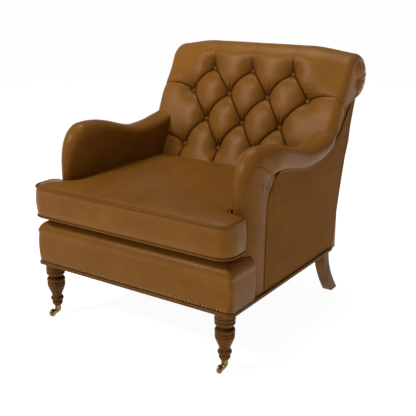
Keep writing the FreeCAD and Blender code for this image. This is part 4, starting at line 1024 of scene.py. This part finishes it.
def cushion_loop(inset, bulge=0.0):
    """The T outline of the cushion, drawn in by an inset."""
    low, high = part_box("cushion_boxing")
    outer = high[0] - inset + bulge
    neck = arm_inner - 0.002 - min(inset, 0.2) * 1.0
    nose = low[1] + inset * 0.85 - bulge
    ear = base_front + 0.086 - inset * 0.55
    rear = high[1] - 0.006 - inset
    shrink = max(1 - inset / 0.12, 0.15)
    return rounded_loop([(-outer, nose, 0.046 * shrink), (outer, nose, 0.046 * shrink),
                         (outer, ear, 0.022 * shrink), (neck, ear + 0.001, 0.045 + inset * 0.25),
                         (neck, rear, 0.026 * shrink), (-neck, rear, 0.026 * shrink),
                         (-neck, ear + 0.001, 0.045 + inset * 0.25), (-outer, ear, 0.022 * shrink)])


def swell(piece, pinned, cap, frames, pressure=4.0):
    """Let the filling push the leather out, then keep what moved within a cap."""
    rest = points_of(piece)
    group = piece.vertex_groups.new(name="seams")
    for number in np.nonzero(pinned > 0.01)[0]:
        group.add([int(number)], float(min(pinned[number], 1)), "REPLACE")
    cloth = piece.modifiers.new("filling", "CLOTH")
    cloth.settings.quality = 6
    cloth.settings.mass = 0.4
    cloth.settings.tension_stiffness = 24
    cloth.settings.compression_stiffness = 24
    cloth.settings.bending_stiffness = 3
    cloth.settings.use_pressure = True
    cloth.settings.uniform_pressure_force = pressure
    cloth.settings.vertex_group_mass = "seams"
    cloth.settings.effector_weights.gravity = 0
    cloth.collision_settings.use_collision = False
    cloth.point_cache.frame_start = 1
    cloth.point_cache.frame_end = frames
    scene = bpy.context.scene
    for number in range(1, frames + 1):
        scene.frame_set(number)
    evaluated = piece.evaluated_get(bpy.context.evaluated_depsgraph_get())
    pushed = np.empty(len(rest) * 3)
    evaluated.to_mesh().vertices.foreach_get("co", pushed)
    evaluated.to_mesh_clear()
    piece.modifiers.remove(cloth)
    piece.vertex_groups.clear()
    scene.frame_set(1)
    shift = pushed.reshape(-1, 3) - rest
    length = np.linalg.norm(shift, axis=1)
    factor = np.where(length > 1e-9, cap * np.tanh(length / cap) / np.maximum(length, 1e-9), 0)
    move_points(piece, rest + shift * factor[:, None])


def edge_normals(loop):
    """The way out of a closed outline at each of its points."""
    ahead = np.roll(loop[:-1], -1, axis=0) - np.roll(loop[:-1], 1, axis=0)
    out = np.stack([ahead[:, 1], -ahead[:, 0]], axis=1)
    out /= np.maximum(np.linalg.norm(out, axis=1), 1e-9)[:, None]
    turned = np.sum(loop[:-1, 0] * np.roll(loop[:-1, 1], -1) - np.roll(loop[:-1, 0], -1) * loop[:-1, 1])
    out *= np.sign(turned)
    return np.concatenate([out, out[:1]])


def soft_gap(points, loop):
    """The distance from points inside a closed outline to it, with no creases where sides compete."""
    runs = np.linalg.norm(np.diff(loop, axis=0), axis=1)
    middles = (loop[1:] + loop[:-1]) / 2
    pull = np.zeros(len(points))
    for middle, run in zip(middles, runs):
        pull += run / np.maximum(np.linalg.norm(points - middle, axis=1), 1e-4) ** 3
    return np.sqrt(2 / pull)


def filled_outline(loop, step):
    """Triangles over the inside of a closed outline: points, faces and soft distances to the rim."""
    low, high = loop.min(axis=0), loop.max(axis=0)
    x, y = np.meshgrid(np.arange(low[0], high[0], step), np.arange(low[1], high[1], step))
    inside = np.stack([x.ravel(), y.ravel()], axis=1)
    inside = inside[line_gap(inside, loop) > step * 0.7]
    count = len(loop) - 1
    spots = [Vector(point) for point in loop[:-1]] + [Vector(point) for point in inside]
    rim = [(number, (number + 1) % count) for number in range(count)]
    corners, _, faces, *_ = delaunay_2d_cdt(spots, rim, [], 1, 1e-7)
    flat = np.array([tuple(corner) for corner in corners])
    gap = soft_gap(flat, loop)
    gap[line_gap(flat, loop) < 1e-5] = 0
    return flat, [tuple(face) for face in faces], gap


def build_cushion(sizes, material):
    """The loose T cushion: boxed, crowned and swollen by its filling."""
    boxing_low, boxing_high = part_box("cushion_boxing")
    low, high = boxing_low[2], boxing_high[2]
    loop = even_line(cushion_loop(0), 0.006)
    flat, triangles, gap = filled_outline(loop, 0.007)
    dome = 1 - (1 - np.clip(gap / 0.17, 0, 1)) ** 2.5
    points, faces = [], []
    for level, rise in ((low, -0.014), (high, sizes.cushion_crown)):
        faces += [tuple(corner + len(points) for corner in face) for face in triangles]
        points += [(x, y, level + rise * share) for (x, y), share in zip(flat, dome)]
    levels = np.linspace(low, high, 22)
    loops = []
    for level in levels:
        bulge = 0.0052 * math.sin(math.pi * (level - low) / (high - low))
        loops.append(loop[:-1] + bulge * edge_normals(loop)[:-1])
    first = len(points)
    points += [(x, y, level) for ring, level in zip(loops, levels) for x, y in ring]
    faces += grid_faces(len(levels), len(loop) - 1, closed=True, first=first)
    piece = make_mesh("seat_cushion_cover", points, faces, material, weld=1e-5)
    remesh = piece.modifiers.new("even", "REMESH")
    remesh.mode = "VOXEL"
    remesh.voxel_size = 0.0055
    flatten(piece)
    piece.data.shade_smooth()
    rest = points_of(piece)
    lines = [cushion_welt_line(level) for level in (low, high)]
    gap = np.min([line_gap(rest, np.array(line)) for line in lines], axis=0)
    swell(piece, np.exp(-(gap / 0.010) ** 2), sizes.cushion_cap, sizes.cloth_frames)
    points = points_of(piece)
    points[:, 2] = np.maximum(points[:, 2], deck_level + 0.0008)
    move_points(piece, points)
    # Painted shade along the welts, and painted highlight, partly rubbed wear, in a band just inside them
    paint(piece, "recess_shade", 0.75 * np.exp(-(gap / 0.0052) ** 2))
    paint(piece, "high", 0.5 * np.exp(-((gap - 0.012) / 0.010) ** 2))
    if not piece.data.materials:
        piece.data.materials.append(material)
    return piece


def cushion_welt_line(level, inset=0.0):
    loop = even_line(cushion_loop(inset), 0.004)
    return [(x, y, level) for x, y in loop]


# Legs and casters

leg_outline = [(0.0110, 0.0362), (0.0150, 0.0385), (0.0172, 0.0425), (0.0176, 0.0470), (0.0168, 0.0510),
               (0.0152, 0.0530), (0.0172, 0.0545), (0.0205, 0.0575), (0.0216, 0.0615), (0.0206, 0.0655),
               (0.0176, 0.0690), (0.0166, 0.0725), (0.0178, 0.0780), (0.0200, 0.0840), (0.0228, 0.0905),
               (0.0254, 0.0970), (0.0278, 0.1030), (0.0293, 0.1085), (0.0300, 0.1120), (0.0292, 0.1140),
               (0.0276, 0.1152), (0.0292, 0.1166), (0.0302, 0.1190), (0.0298, 0.1220), (0.0284, 0.1238),
               (0.0272, 0.1248), (0.0290, 0.1262), (0.0304, 0.1290), (0.0307, 0.1320), (0.0298, 0.1352),
               (0.0270, 0.1380), (0.0225, 0.1398), (0.0208, 0.1418), (0.0214, 0.1442), (0.0244, 0.1466),
               (0.0276, 0.1490), (0.0296, 0.1512), (0.0310, 0.1545), (0.0312, 0.1580), (0.0304, 0.1606),
               (0.0284, 0.1622), (0.0302, 0.1638), (0.0314, 0.1664), (0.0317, 0.1695), (0.0310, 0.1722),
               (0.0290, 0.1738), (0.0304, 0.1752), (0.0312, 0.1780), (0.0312, 0.1885)]


def build_front_leg(side, material):
    """A turned leg, with painted shade in its grooves."""
    node = "front_right_leg" if side > 0 else "front_left_leg"
    low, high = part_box(node)
    centre = ((low[0] + high[0]) / 2, (low[1] + high[1]) / 2, 0)
    fine = curved_line(leg_outline, 0.0011)
    outline = [(0.0005, fine[0][1])] + [tuple(point) for point in fine] + [(0.0005, high[2])]
    piece = turned_mesh("turned_" + node, outline, centre, material, 56)
    points = points_of(piece)
    radius = np.linalg.norm(points[:, :2] - np.array(centre[:2]), axis=1)
    envelope = np.interp(points[:, 2], [spot[1] for spot in leg_outline], [spot[0] for spot in leg_outline])
    crest = np.array([envelope[np.abs(points[:, 2] - z) < 0.0042].max() for z in points[:, 2]])
    # Painted shade in the grooves, by how far each point lies below the nearby crest
    paint(piece, "recess_shade", np.clip((crest - radius) / 0.009, 0, 0.75))
    return piece, node


def build_rear_leg(side, material):
    """A square leg that curves back, with eased corners."""
    node = "rear_right_leg" if side > 0 else "rear_left_leg"
    low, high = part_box(node)
    inner = min(abs(low[0]), abs(high[0]))
    outer = max(abs(low[0]), abs(high[0]))
    half_x, half_y, ease = 0.018, 0.024, 0.0035
    top_y, foot_y = low[1] + half_y, high[1] - half_y
    rings = []
    for share in np.linspace(0, 1, 22):
        height = high[2] + (low[2] - high[2]) * share
        middle = np.array([side * (outer - half_x - (outer - inner - 2 * half_x) * share),
                           top_y + (foot_y - top_y) * share ** 1.5])
        slim = 1 - 0.03 * math.sin(math.pi * share)
        for corner_x, corner_y in ((-1, -1), (1, -1), (1, 1), (-1, 1)):
            for part in range(5):
                angle = math.atan2(corner_y, corner_x) + math.radians(-45 + 90 * part / 4)
                core = np.array([corner_x * (half_x * slim - ease), corner_y * (half_y * slim - ease)])
                spot = middle + core + ease * np.array([math.cos(angle), math.sin(angle)])
                rings.append((spot[0], spot[1], height))
    piece = make_mesh("sabre_" + node, rings, grid_faces(22, 20, closed=True), material)
    edges = piece.modifiers.new("ease", "BEVEL")
    edges.width = 0.0012
    edges.limit_method = "ANGLE"
    edges.segments = 2
    return flatten(piece), node


def fork_points(pivot_y, axle_y):
    """The outline of one cheek of a caster's horn, seen from the side, as (depth, height)."""
    return [(pivot_y + 0.0075, 0.0196), (pivot_y + 0.0070, 0.0160), (pivot_y + 0.0015, 0.0128),
            (pivot_y - 0.0080, 0.0095), (axle_y + 0.0040, 0.0082), (axle_y - 0.0010, 0.0078),
            (axle_y - 0.0052, 0.0105), (axle_y - 0.0060, 0.0140), (axle_y - 0.0040, 0.0178),
            (axle_y + 0.0010, 0.0196), (axle_y + 0.0075, 0.0197), (pivot_y - 0.0090, 0.0188)]


def build_caster(side, material):
    """Ferrule, forked horn, axle and rounded wheel of one caster."""
    prefix = "right" if side > 0 else "left"
    cup_low, cup_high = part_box(prefix + "_caster_socket")
    wheel_low, wheel_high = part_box(prefix + "_caster_wheel")
    centre_x, pivot_y = (cup_low[0] + cup_high[0]) / 2, (cup_low[1] + cup_high[1]) / 2
    axle_y, axle_z = (wheel_low[1] + wheel_high[1]) / 2, (wheel_low[2] + wheel_high[2]) / 2
    radius = (cup_high[0] - cup_low[0]) / 2
    bottom, top = cup_low[2], cup_high[2]
    ferrule = turned_mesh(prefix + "_ferrule", [
        (0.0029, bottom), (radius - 0.0012, bottom), (radius - 0.0002, bottom + 0.0008),
        (radius, bottom + 0.0020), (radius - 0.0006, bottom + 0.0032), (radius - 0.0004, top - 0.0045),
        (radius + 0.0003, top - 0.0030), (radius + 0.0011, top - 0.0018), (radius + 0.0009, top - 0.0003),
        (radius - 0.0002, top + 0.0006), (0.0029, top - 0.0004)], (centre_x, pivot_y, 0), material, 40)
    settle(ferrule, [prefix + "_caster_socket"])
    inner, thick = 0.0054, 0.0026
    cheek = fork_points(pivot_y, axle_y)
    outline = curved_line(cheek + cheek[:1], 0.0012)[:-1]
    middle = outline.mean(axis=0)
    points, faces = [], []
    for way in (-1, 1):
        for lift, inset in ((0.0, 0.0004), (0.0005, 0.0), (thick - 0.0007, 0.0), (thick, 0.0007)):
            for spot in outline:
                y, z = spot + (middle - spot) / max(np.linalg.norm(middle - spot), 1e-6) * inset
                points.append((centre_x + way * (inner + lift), y, z))
    count = len(outline)
    for number in range(2):
        faces += grid_faces(4, count, closed=True, first=number * 4 * count)
    horn = make_mesh(prefix + "_horn_cheeks", points, faces, material)
    plate = turned_mesh(prefix + "_swivel_plate", [
        (0.0004, 0.0154), (0.0060, 0.0154), (0.0082, 0.0162), (0.0088, 0.0178), (0.0086, 0.0193),
        (0.0050, 0.0196), (0.0025, 0.0197), (0.0024, 0.0225), (0.0004, 0.0225)],
        (centre_x, pivot_y, 0), material, 36)
    rivet = turned_mesh(prefix + "_axle_rivet", [
        (0.0003, -0.0092), (0.0022, -0.0091), (0.0030, -0.0086), (0.0032, -0.0081), (0.0024, -0.0080),
        (0.0024, 0.0080), (0.0032, 0.0081), (0.0030, 0.0086), (0.0022, 0.0091), (0.0003, 0.0092)],
        (centre_x, axle_y, axle_z), material, 24, along="X")
    settle(horn, [prefix + "_caster_horn"], prefix + "_caster_swivel")
    settle(plate, (), prefix + "_caster_swivel")
    settle(rivet, [prefix + "_caster_axle"], prefix + "_caster_swivel")
    half, tread = 0.0049, (wheel_high[2] - wheel_low[2]) / 2
    wheel = turned_mesh(prefix + "_wheel", [
        (0.0027, -half + 0.0004), (0.0046, -half), (0.0056, -half + 0.0003), (0.0062, -half + 0.0012),
        (tread - 0.0042, -half + 0.0013), (tread - 0.0030, -half + 0.0003), (tread - 0.0012, -half + 0.0007),
        (tread - 0.0002, -half + 0.0022), (tread, -0.0006), (tread, 0.0006), (tread - 0.0002, half - 0.0022),
        (tread - 0.0012, half - 0.0007), (tread - 0.0030, half - 0.0003), (tread - 0.0042, half - 0.0013),
        (0.0062, half - 0.0012), (0.0056, half - 0.0003), (0.0046, half), (0.0027, half - 0.0004)],
        (centre_x, axle_y, axle_z), material, 56, along="X")
    settle(wheel, [prefix + "_caster_wheel"], prefix + "_caster_roller")


# Operators

hide_kinds = {
    "plain": {},
    # Painted shade: the side finish is the leather at 0.94 of its tone, for panels that face sideways and back
    "side": {"tone": 0.94, "shine": 0.02, "polish": -0.20},
    "piping": {"tone": 0.88, "polish": 0.03},
    "cushion": {"tone": 1.0, "shine": 0.13},
}


def hide_finish(kind="plain"):
    """One leather material for each use, made once."""
    name = "leather_" + kind
    if name in bpy.data.materials:
        return bpy.data.materials[name]
    return leather_material(name, **hide_kinds[kind])


class ARMCHAIR_OT_back(bpy.types.Operator):
    """Build the buttoned back with its scroll and buttons"""
    bl_idname = "armchair.back"
    bl_label = "Buttoned back"

    def execute(self, context):
        sizes = context.scene.armchair_sizes
        piece, rows = build_back(sizes, hide_finish())
        settle(piece, ["tufted_back", "back_scroll", "back_pad", "back_side_bands"])
        radius = sizes.button_radius
        template = turned_mesh("button_pattern", [
            (0.0004, -0.004), (radius * 0.8, -0.004), (radius * 0.97, -0.0015), (radius, 0.0005),
            (radius * 0.96, 0.0022), (radius * 0.84, 0.0040), (radius * 0.62, 0.0054), (radius * 0.34, 0.0062),
            (0.0004, 0.0065)], (0, 0, 0), hide_finish(), 20)
        spots = [tuple(spot) + (-sizes.tuft_depth + 0.0035,) for row in rows for spot in row]
        spots += [(spot[0], roll_button_up, -0.0075) for spot in rows[3]]
        across, up, proud = np.array(spots).T
        base = back_place(across, up, proud)
        facings = back_place(across, up, proud + 0.01) - base
        buttons = studs("back_buttons", base, facings, template, hide_finish())
        bpy.data.objects.remove(template)
        settle(buttons, ["tuft_buttons"])
        return {"FINISHED"}


class ARMCHAIR_OT_arms(bpy.types.Operator):
    """Build both padded arms"""
    bl_idname = "armchair.arms"
    bl_label = "Arms"

    def execute(self, context):
        for side, prefix in ((-1, "left"), (1, "right")):
            piece = build_arm(side, hide_finish())
            nodes = [prefix + "_arm_cover", prefix + "_arm_pad"]
            settle(piece, nodes + (["arm_facings"] if side > 0 else []))
        return {"FINISHED"}


class ARMCHAIR_OT_sides(bpy.types.Operator):
    """Build the outside arms, the outside back and their welts"""
    bl_idname = "armchair.sides"
    bl_label = "Outside panels"

    def execute(self, context):
        for side, prefix in ((-1, "left"), (1, "right")):
            # These panels take the side finish, whose lower tone paints shade into them
            panel = build_side_panel(side, hide_finish("side"))
            settle(panel, [prefix + "_outside_arm"])
        rows, columns = 60, 90
        heights = np.linspace(base_bottom + 0.002, 0.7165, rows)
        x = np.linspace(-half_width + 0.0015, half_width - 0.0015, columns)
        outer, inner = [], []
        for number, height in enumerate(heights):
            edge = min(number, rows - 1 - number) / (rows * 0.2)
            for column, across in enumerate(x):
                rim = min(edge, min(column, columns - 1 - column) / (columns * 0.12), 1)
                puff = 0.0034 * (1 - (1 - rim) ** 2)
                outer.append((across, depth(rear_edge(height)) + puff - 0.0004, height))
                inner.append((across, depth(rear_edge(height)) - 0.004, height))
        faces = slab_faces(rows, columns)
        # The outside back takes the side finish too, with its painted shade
        rear = make_mesh("outside_back_panel", outer + inner, faces, hide_finish("side"))
        settle(rear, ["outside_back"])
        lines, facing_lines = [], []
        for side in (-1, 1):
            under = [facing_seam[-1]] + roll_seam_points() + gusset_seam
            lines.append(side_line(under, side, 0.0016))
            lines.append(side_line([(back + 0.0012, height - 0.0046)
                                    for back, height in under[:-1]] + [under[-1]],
                                   side, 0.0016))
            facing_lines.append(side_line(facing_seam, side, -0.0004))
        arm_lines = welts("arm_seam_welts", lines, 0.0024, hide_finish("piping"))
        settle(arm_lines, ["arm_welts"])
        facing = welts("facing_piping", facing_lines, 0.0013, hide_finish("piping"))
        settle(facing)
        rear_lines = []
        for side in (-1, 1):
            rear_lines.append([(side * (half_width - 0.0018), depth(rear_edge(height)) - 0.0012, height)
                               for height in np.linspace(base_bottom + 0.004, 0.712, 70)])
        rear_welts = welts("rear_edge_welts", rear_lines, 0.0026, hide_finish("piping"))
        settle(rear_welts, ["outside_back_welts"])
        return {"FINISHED"}


class ARMCHAIR_OT_seat(bpy.types.Operator):
    """Build the seat border, the deck and the loose cushion"""
    bl_idname = "armchair.seat"
    bl_label = "Seat and cushion"

    def execute(self, context):
        sizes = context.scene.armchair_sizes
        border = build_border(hide_finish())
        settle(border, ["front_border_cover", "front_border_pad"])
        deck_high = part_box("deck_cover")[1]
        rows, columns = 40, 60
        points = []
        for level in (1, 0):
            for y in np.linspace(base_front + 0.06, deck_high[1] - 0.004, rows):
                for x in np.linspace(-arm_inner - 0.02, arm_inner + 0.02, columns):
                    sink = 0.006 * math.cos(x / arm_inner * 1.2) * math.sin(math.pi * (y - base_front) / 0.62)
                    points.append((x, y, deck_level - 0.001 - sink if level else deck_level - 0.02))
        faces = slab_faces(rows, columns)
        deck = make_mesh("seat_deck", points, faces, woven_material("deck_cloth", (0.13, 0.075, 0.035)))
        settle(deck, ["deck_cover", "deck_pad", "spring_cloth"])
        cushion = build_cushion(sizes, hide_finish("cushion"))
        settle(cushion, ["cushion_core", "cushion_top_panel", "cushion_bottom_panel",
                                        "cushion_boxing"], "seat_cushion")
        low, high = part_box("cushion_boxing")
        radius = sizes.welt_radius
        lines = [cushion_welt_line(level, -radius * 0.35)[:-1] for level in (low[2], high[2])]
        piping = welts("cushion_piping", lines, radius, hide_finish("piping"), closed=True)
        settle(piping, ["cushion_welts"], "seat_cushion")
        return {"FINISHED"}


class ARMCHAIR_OT_trim(bpy.types.Operator):
    """Build the double welt and the nailheads of the base"""
    bl_idname = "armchair.trim"
    bl_label = "Welts and nails"

    def execute(self, context):
        sizes = context.scene.armchair_sizes
        colours = context.scene.armchair_colours
        bead = sizes.bead_radius
        rear = depth(0.666)
        lines = []
        for layer in (0, 1):
            level = base_bottom + bead * (1 + 2 * layer)
            half = half_width + bead * 1.25
            corners = rounded_loop([(-half, base_front - bead * 0.75, 0.012),
                                    (half, base_front - bead * 0.75, 0.012),
                                    (half, rear, 0.001), (-half, rear, 0.001)])
            path = even_line(corners[:-1], 0.005)
            front_part = [point for point in path if point[1] < rear - 0.002]
            ordered = sorted(front_part, key=lambda point: trim_order(point, half, rear))
            lines.append([(x, y, level) for x, y in ordered])
        beads = welts("base_double_welt", lines, bead, hide_finish("piping"))
        settle(beads, ["base_welt"])
        radius, pitch = sizes.nail_radius, sizes.nail_pitch
        level = base_bottom + 0.0173
        places, facings = [], []
        count = int((half_width - 0.009 - radius) / pitch)
        for number in range(-count, count + 1):
            places.append((number * pitch, base_front + 0.0004, level))
            facings.append((0, -1, 0))
        for side in (-1, 1):
            for number in range(9):
                places.append((side * (half_width - 0.0004), base_front + 0.0145 + pitch * number, level))
                facings.append((side, 0, 0))
        bronze = metal_material("aged_nailheads", tuple(colours.nail), 0.42, 0.30)
        template = turned_mesh("nail_pattern", [
            (0.0003, -0.0006), (radius * 0.93, -0.0006), (radius, 0.0002), (radius * 0.97, 0.0008),
            (radius * 0.80, 0.0024), (radius * 0.50, 0.0034), (radius * 0.22, 0.0039), (0.0003, 0.0040)],
            (0, 0, 0), bronze, 14)
        nails = studs("base_nailheads", places, facings, template, bronze)
        bpy.data.objects.remove(template)
        settle(nails, ["nailhead_trim"])
        return {"FINISHED"}


def trim_order(point, half, rear):
    """How far along the base welt a point lies, from the left rear round the front."""
    x, y = point
    if x < -half + 0.011 and y > base_front + 0.008:
        return rear - y
    if x > half - 0.011 and y > base_front + 0.008:
        return 10 + y
    return 5 + x


class ARMCHAIR_OT_legs(bpy.types.Operator):
    """Build the turned front legs and the curved rear legs"""
    bl_idname = "armchair.legs"
    bl_label = "Legs"

    def execute(self, context):
        wood = wood_material("stained_legs", tuple(context.scene.armchair_colours.wood))
        for side in (-1, 1):
            for piece, node in (build_front_leg(side, wood), build_rear_leg(side, wood)):
                settle(piece, [node])
        return {"FINISHED"}


class ARMCHAIR_OT_casters(bpy.types.Operator):
    """Build the brass casters of the front legs"""
    bl_idname = "armchair.casters"
    bl_label = "Casters"

    def execute(self, context):
        brass = metal_material("old_brass", tuple(context.scene.armchair_colours.brass), 0.30, 0.62)
        for side in (-1, 1):
            build_caster(side, brass)
        return {"FINISHED"}


class ARMCHAIR_OT_inside(bpy.types.Operator):
    """Finish the frame, springs and cloths that the upholstery hides"""
    bl_idname = "armchair.inside"
    bl_label = "Hidden frame"

    def execute(self, context):
        timber = wood_material("frame_timber", (0.42, 0.27, 0.14), 0.6, 0.6)
        steel = metal_material("plain_steel", (0.45, 0.45, 0.46), 0.4, 0.35)
        webbing = woven_material("jute_webbing", (0.30, 0.22, 0.12), 900.0)
        lining = woven_material("black_lining", (0.020, 0.018, 0.017), 1600.0)
        glide = woven_material("felt_glide", (0.03, 0.028, 0.026), 2400.0)
        zip_cloth = woven_material("zip_tape", (0.11, 0.045, 0.015), 2000.0)
        finishes = {"frame_timber": timber, "steel": steel, "lining_cloth": lining,
                    "glide": glide, "zip": zip_cloth}
        slots = {part["node"]: part["material_slot"] for part in frame["record"]["subparts"]}
        for name, node in frame["nodes"].items():
            finish = webbing if name == "back_webbing" else finishes.get(slots.get(name))
            if finish is not None:
                node.data.materials.clear()
                node.data.materials.append(finish)
        return {"FINISHED"}


class ARMCHAIR_OT_stage(bpy.types.Operator):
    """Set the pale floor, the soft light and the camera"""
    bl_idname = "armchair.stage"
    bl_label = "Stage"

    def execute(self, context):
        scene = context.scene
        material, _, _, shader, _ = new_material("pale_floor")
        shader.inputs["Base Color"].default_value = (0.34, 0.34, 0.34, 1)
        shader.inputs["Roughness"].default_value = 0.9
        shader.inputs["Specular IOR Level"].default_value = 0.0
        shader.inputs["Emission Color"].default_value = (1, 1, 1, 1)
        shader.inputs["Emission Strength"].default_value = 0.93
        corner = 60.0
        floor = make_mesh("pale_floor", [(-corner, -corner, 0), (corner, -corner, 0), (corner, corner, 0),
                                         (-corner, corner, 0)], [(0, 1, 2, 3)], material, shell=False)
        world = bpy.data.worlds.new("soft_room")
        world.use_nodes = True
        tree = world.node_tree
        split = tree.nodes.new("ShaderNodeSeparateXYZ")
        tree.links.new(tree.nodes.new("ShaderNodeTexCoord").outputs["Object"], split.inputs["Vector"])
        fade = tree.nodes.new("ShaderNodeMapRange")
        fade.interpolation_type = "SMOOTHSTEP"
        for socket, value in (("From Min", 0.03), ("From Max", 0.22), ("To Min", 1.0), ("To Max", 0.14)):
            fade.inputs[socket].default_value = value
        tree.links.new(split.outputs["Z"], fade.inputs["Value"])
        tree.links.new(fade.outputs["Result"], tree.nodes["Background"].inputs["Strength"])
        tree.nodes["Background"].inputs["Color"].default_value = (1, 1, 1, 1)
        scene.world = world
        for name, place_at, target, size, power in (
                ("key_light", (-1.7, -2.5, 2.7), (0, 0, 0.45), 0.8, 62),
                ("top_light", (-0.4, 0.3, 3.0), (0, 0.1, 0.5), 1.6, 36),
                ("fill_light", (0.6, -3.2, 1.3), (0, 0, 0.4), 1.6, 5)):
            light = bpy.data.lights.new(name, "AREA")
            light.shape = "DISK"
            light.size = size
            light.energy = power
            lamp = bpy.data.objects.new(name, light)
            scene.collection.objects.link(lamp)
            lamp.location = place_at
            lamp.rotation_euler = (Vector(target) - Vector(place_at)).to_track_quat("-Z", "Y").to_euler()
        yaw, pitch = math.radians(33.959), math.radians(17.544)
        camera = bpy.data.cameras.new("view")
        camera.sensor_width = 36
        camera.lens = 64.39
        camera.clip_end = 60
        eye = bpy.data.objects.new("view", camera)
        scene.collection.objects.link(eye)
        eye.location = (1.3995, depth(-1.62854), 1.12548)
        forward = Vector((-math.sin(yaw) * math.cos(pitch),
                          math.cos(yaw) * math.cos(pitch), -math.sin(pitch)))
        eye.rotation_euler = forward.to_track_quat("-Z", "Y").to_euler()
        scene.camera = eye
        scene.view_settings.view_transform = "Standard"
        scene.view_settings.look = "None"
        return {"FINISHED"}


class ARMCHAIR_PT_panel(bpy.types.Panel):
    """The sizes, colours and steps of the armchair"""
    bl_label = "Armchair"
    bl_idname = "ARMCHAIR_PT_panel"
    bl_space_type = "VIEW_3D"
    bl_region_type = "UI"
    bl_category = "Armchair"

    def draw(self, context):
        for step in steps:
            self.layout.operator(step.bl_idname)
        for group in (context.scene.armchair_sizes, context.scene.armchair_colours):
            box = self.layout.box()
            for name in group.__annotations__:
                box.prop(group, name)


steps = (ARMCHAIR_OT_back, ARMCHAIR_OT_arms, ARMCHAIR_OT_sides, ARMCHAIR_OT_seat, ARMCHAIR_OT_trim,
         ARMCHAIR_OT_legs, ARMCHAIR_OT_casters, ARMCHAIR_OT_inside, ARMCHAIR_OT_stage)
classes = (ArmchairSizes, ArmchairColours, *steps, ARMCHAIR_PT_panel)


def register():
    for item in classes:
        bpy.utils.register_class(item)
    bpy.types.Scene.armchair_sizes = PointerProperty(type=ArmchairSizes)
    bpy.types.Scene.armchair_colours = PointerProperty(type=ArmchairColours)


def unregister():
    del bpy.types.Scene.armchair_colours
    del bpy.types.Scene.armchair_sizes
    for item in reversed(classes):
        bpy.utils.unregister_class(item)


def main():
    register()
    bpy.ops.armchair.stage()
    bpy.ops.armchair.back()
    bpy.ops.armchair.arms()
    bpy.ops.armchair.sides()
    bpy.ops.armchair.seat()
    bpy.ops.armchair.trim()
    bpy.ops.armchair.legs()
    bpy.ops.armchair.casters()
    bpy.ops.armchair.inside()


if __name__ == "__main__":
    main()
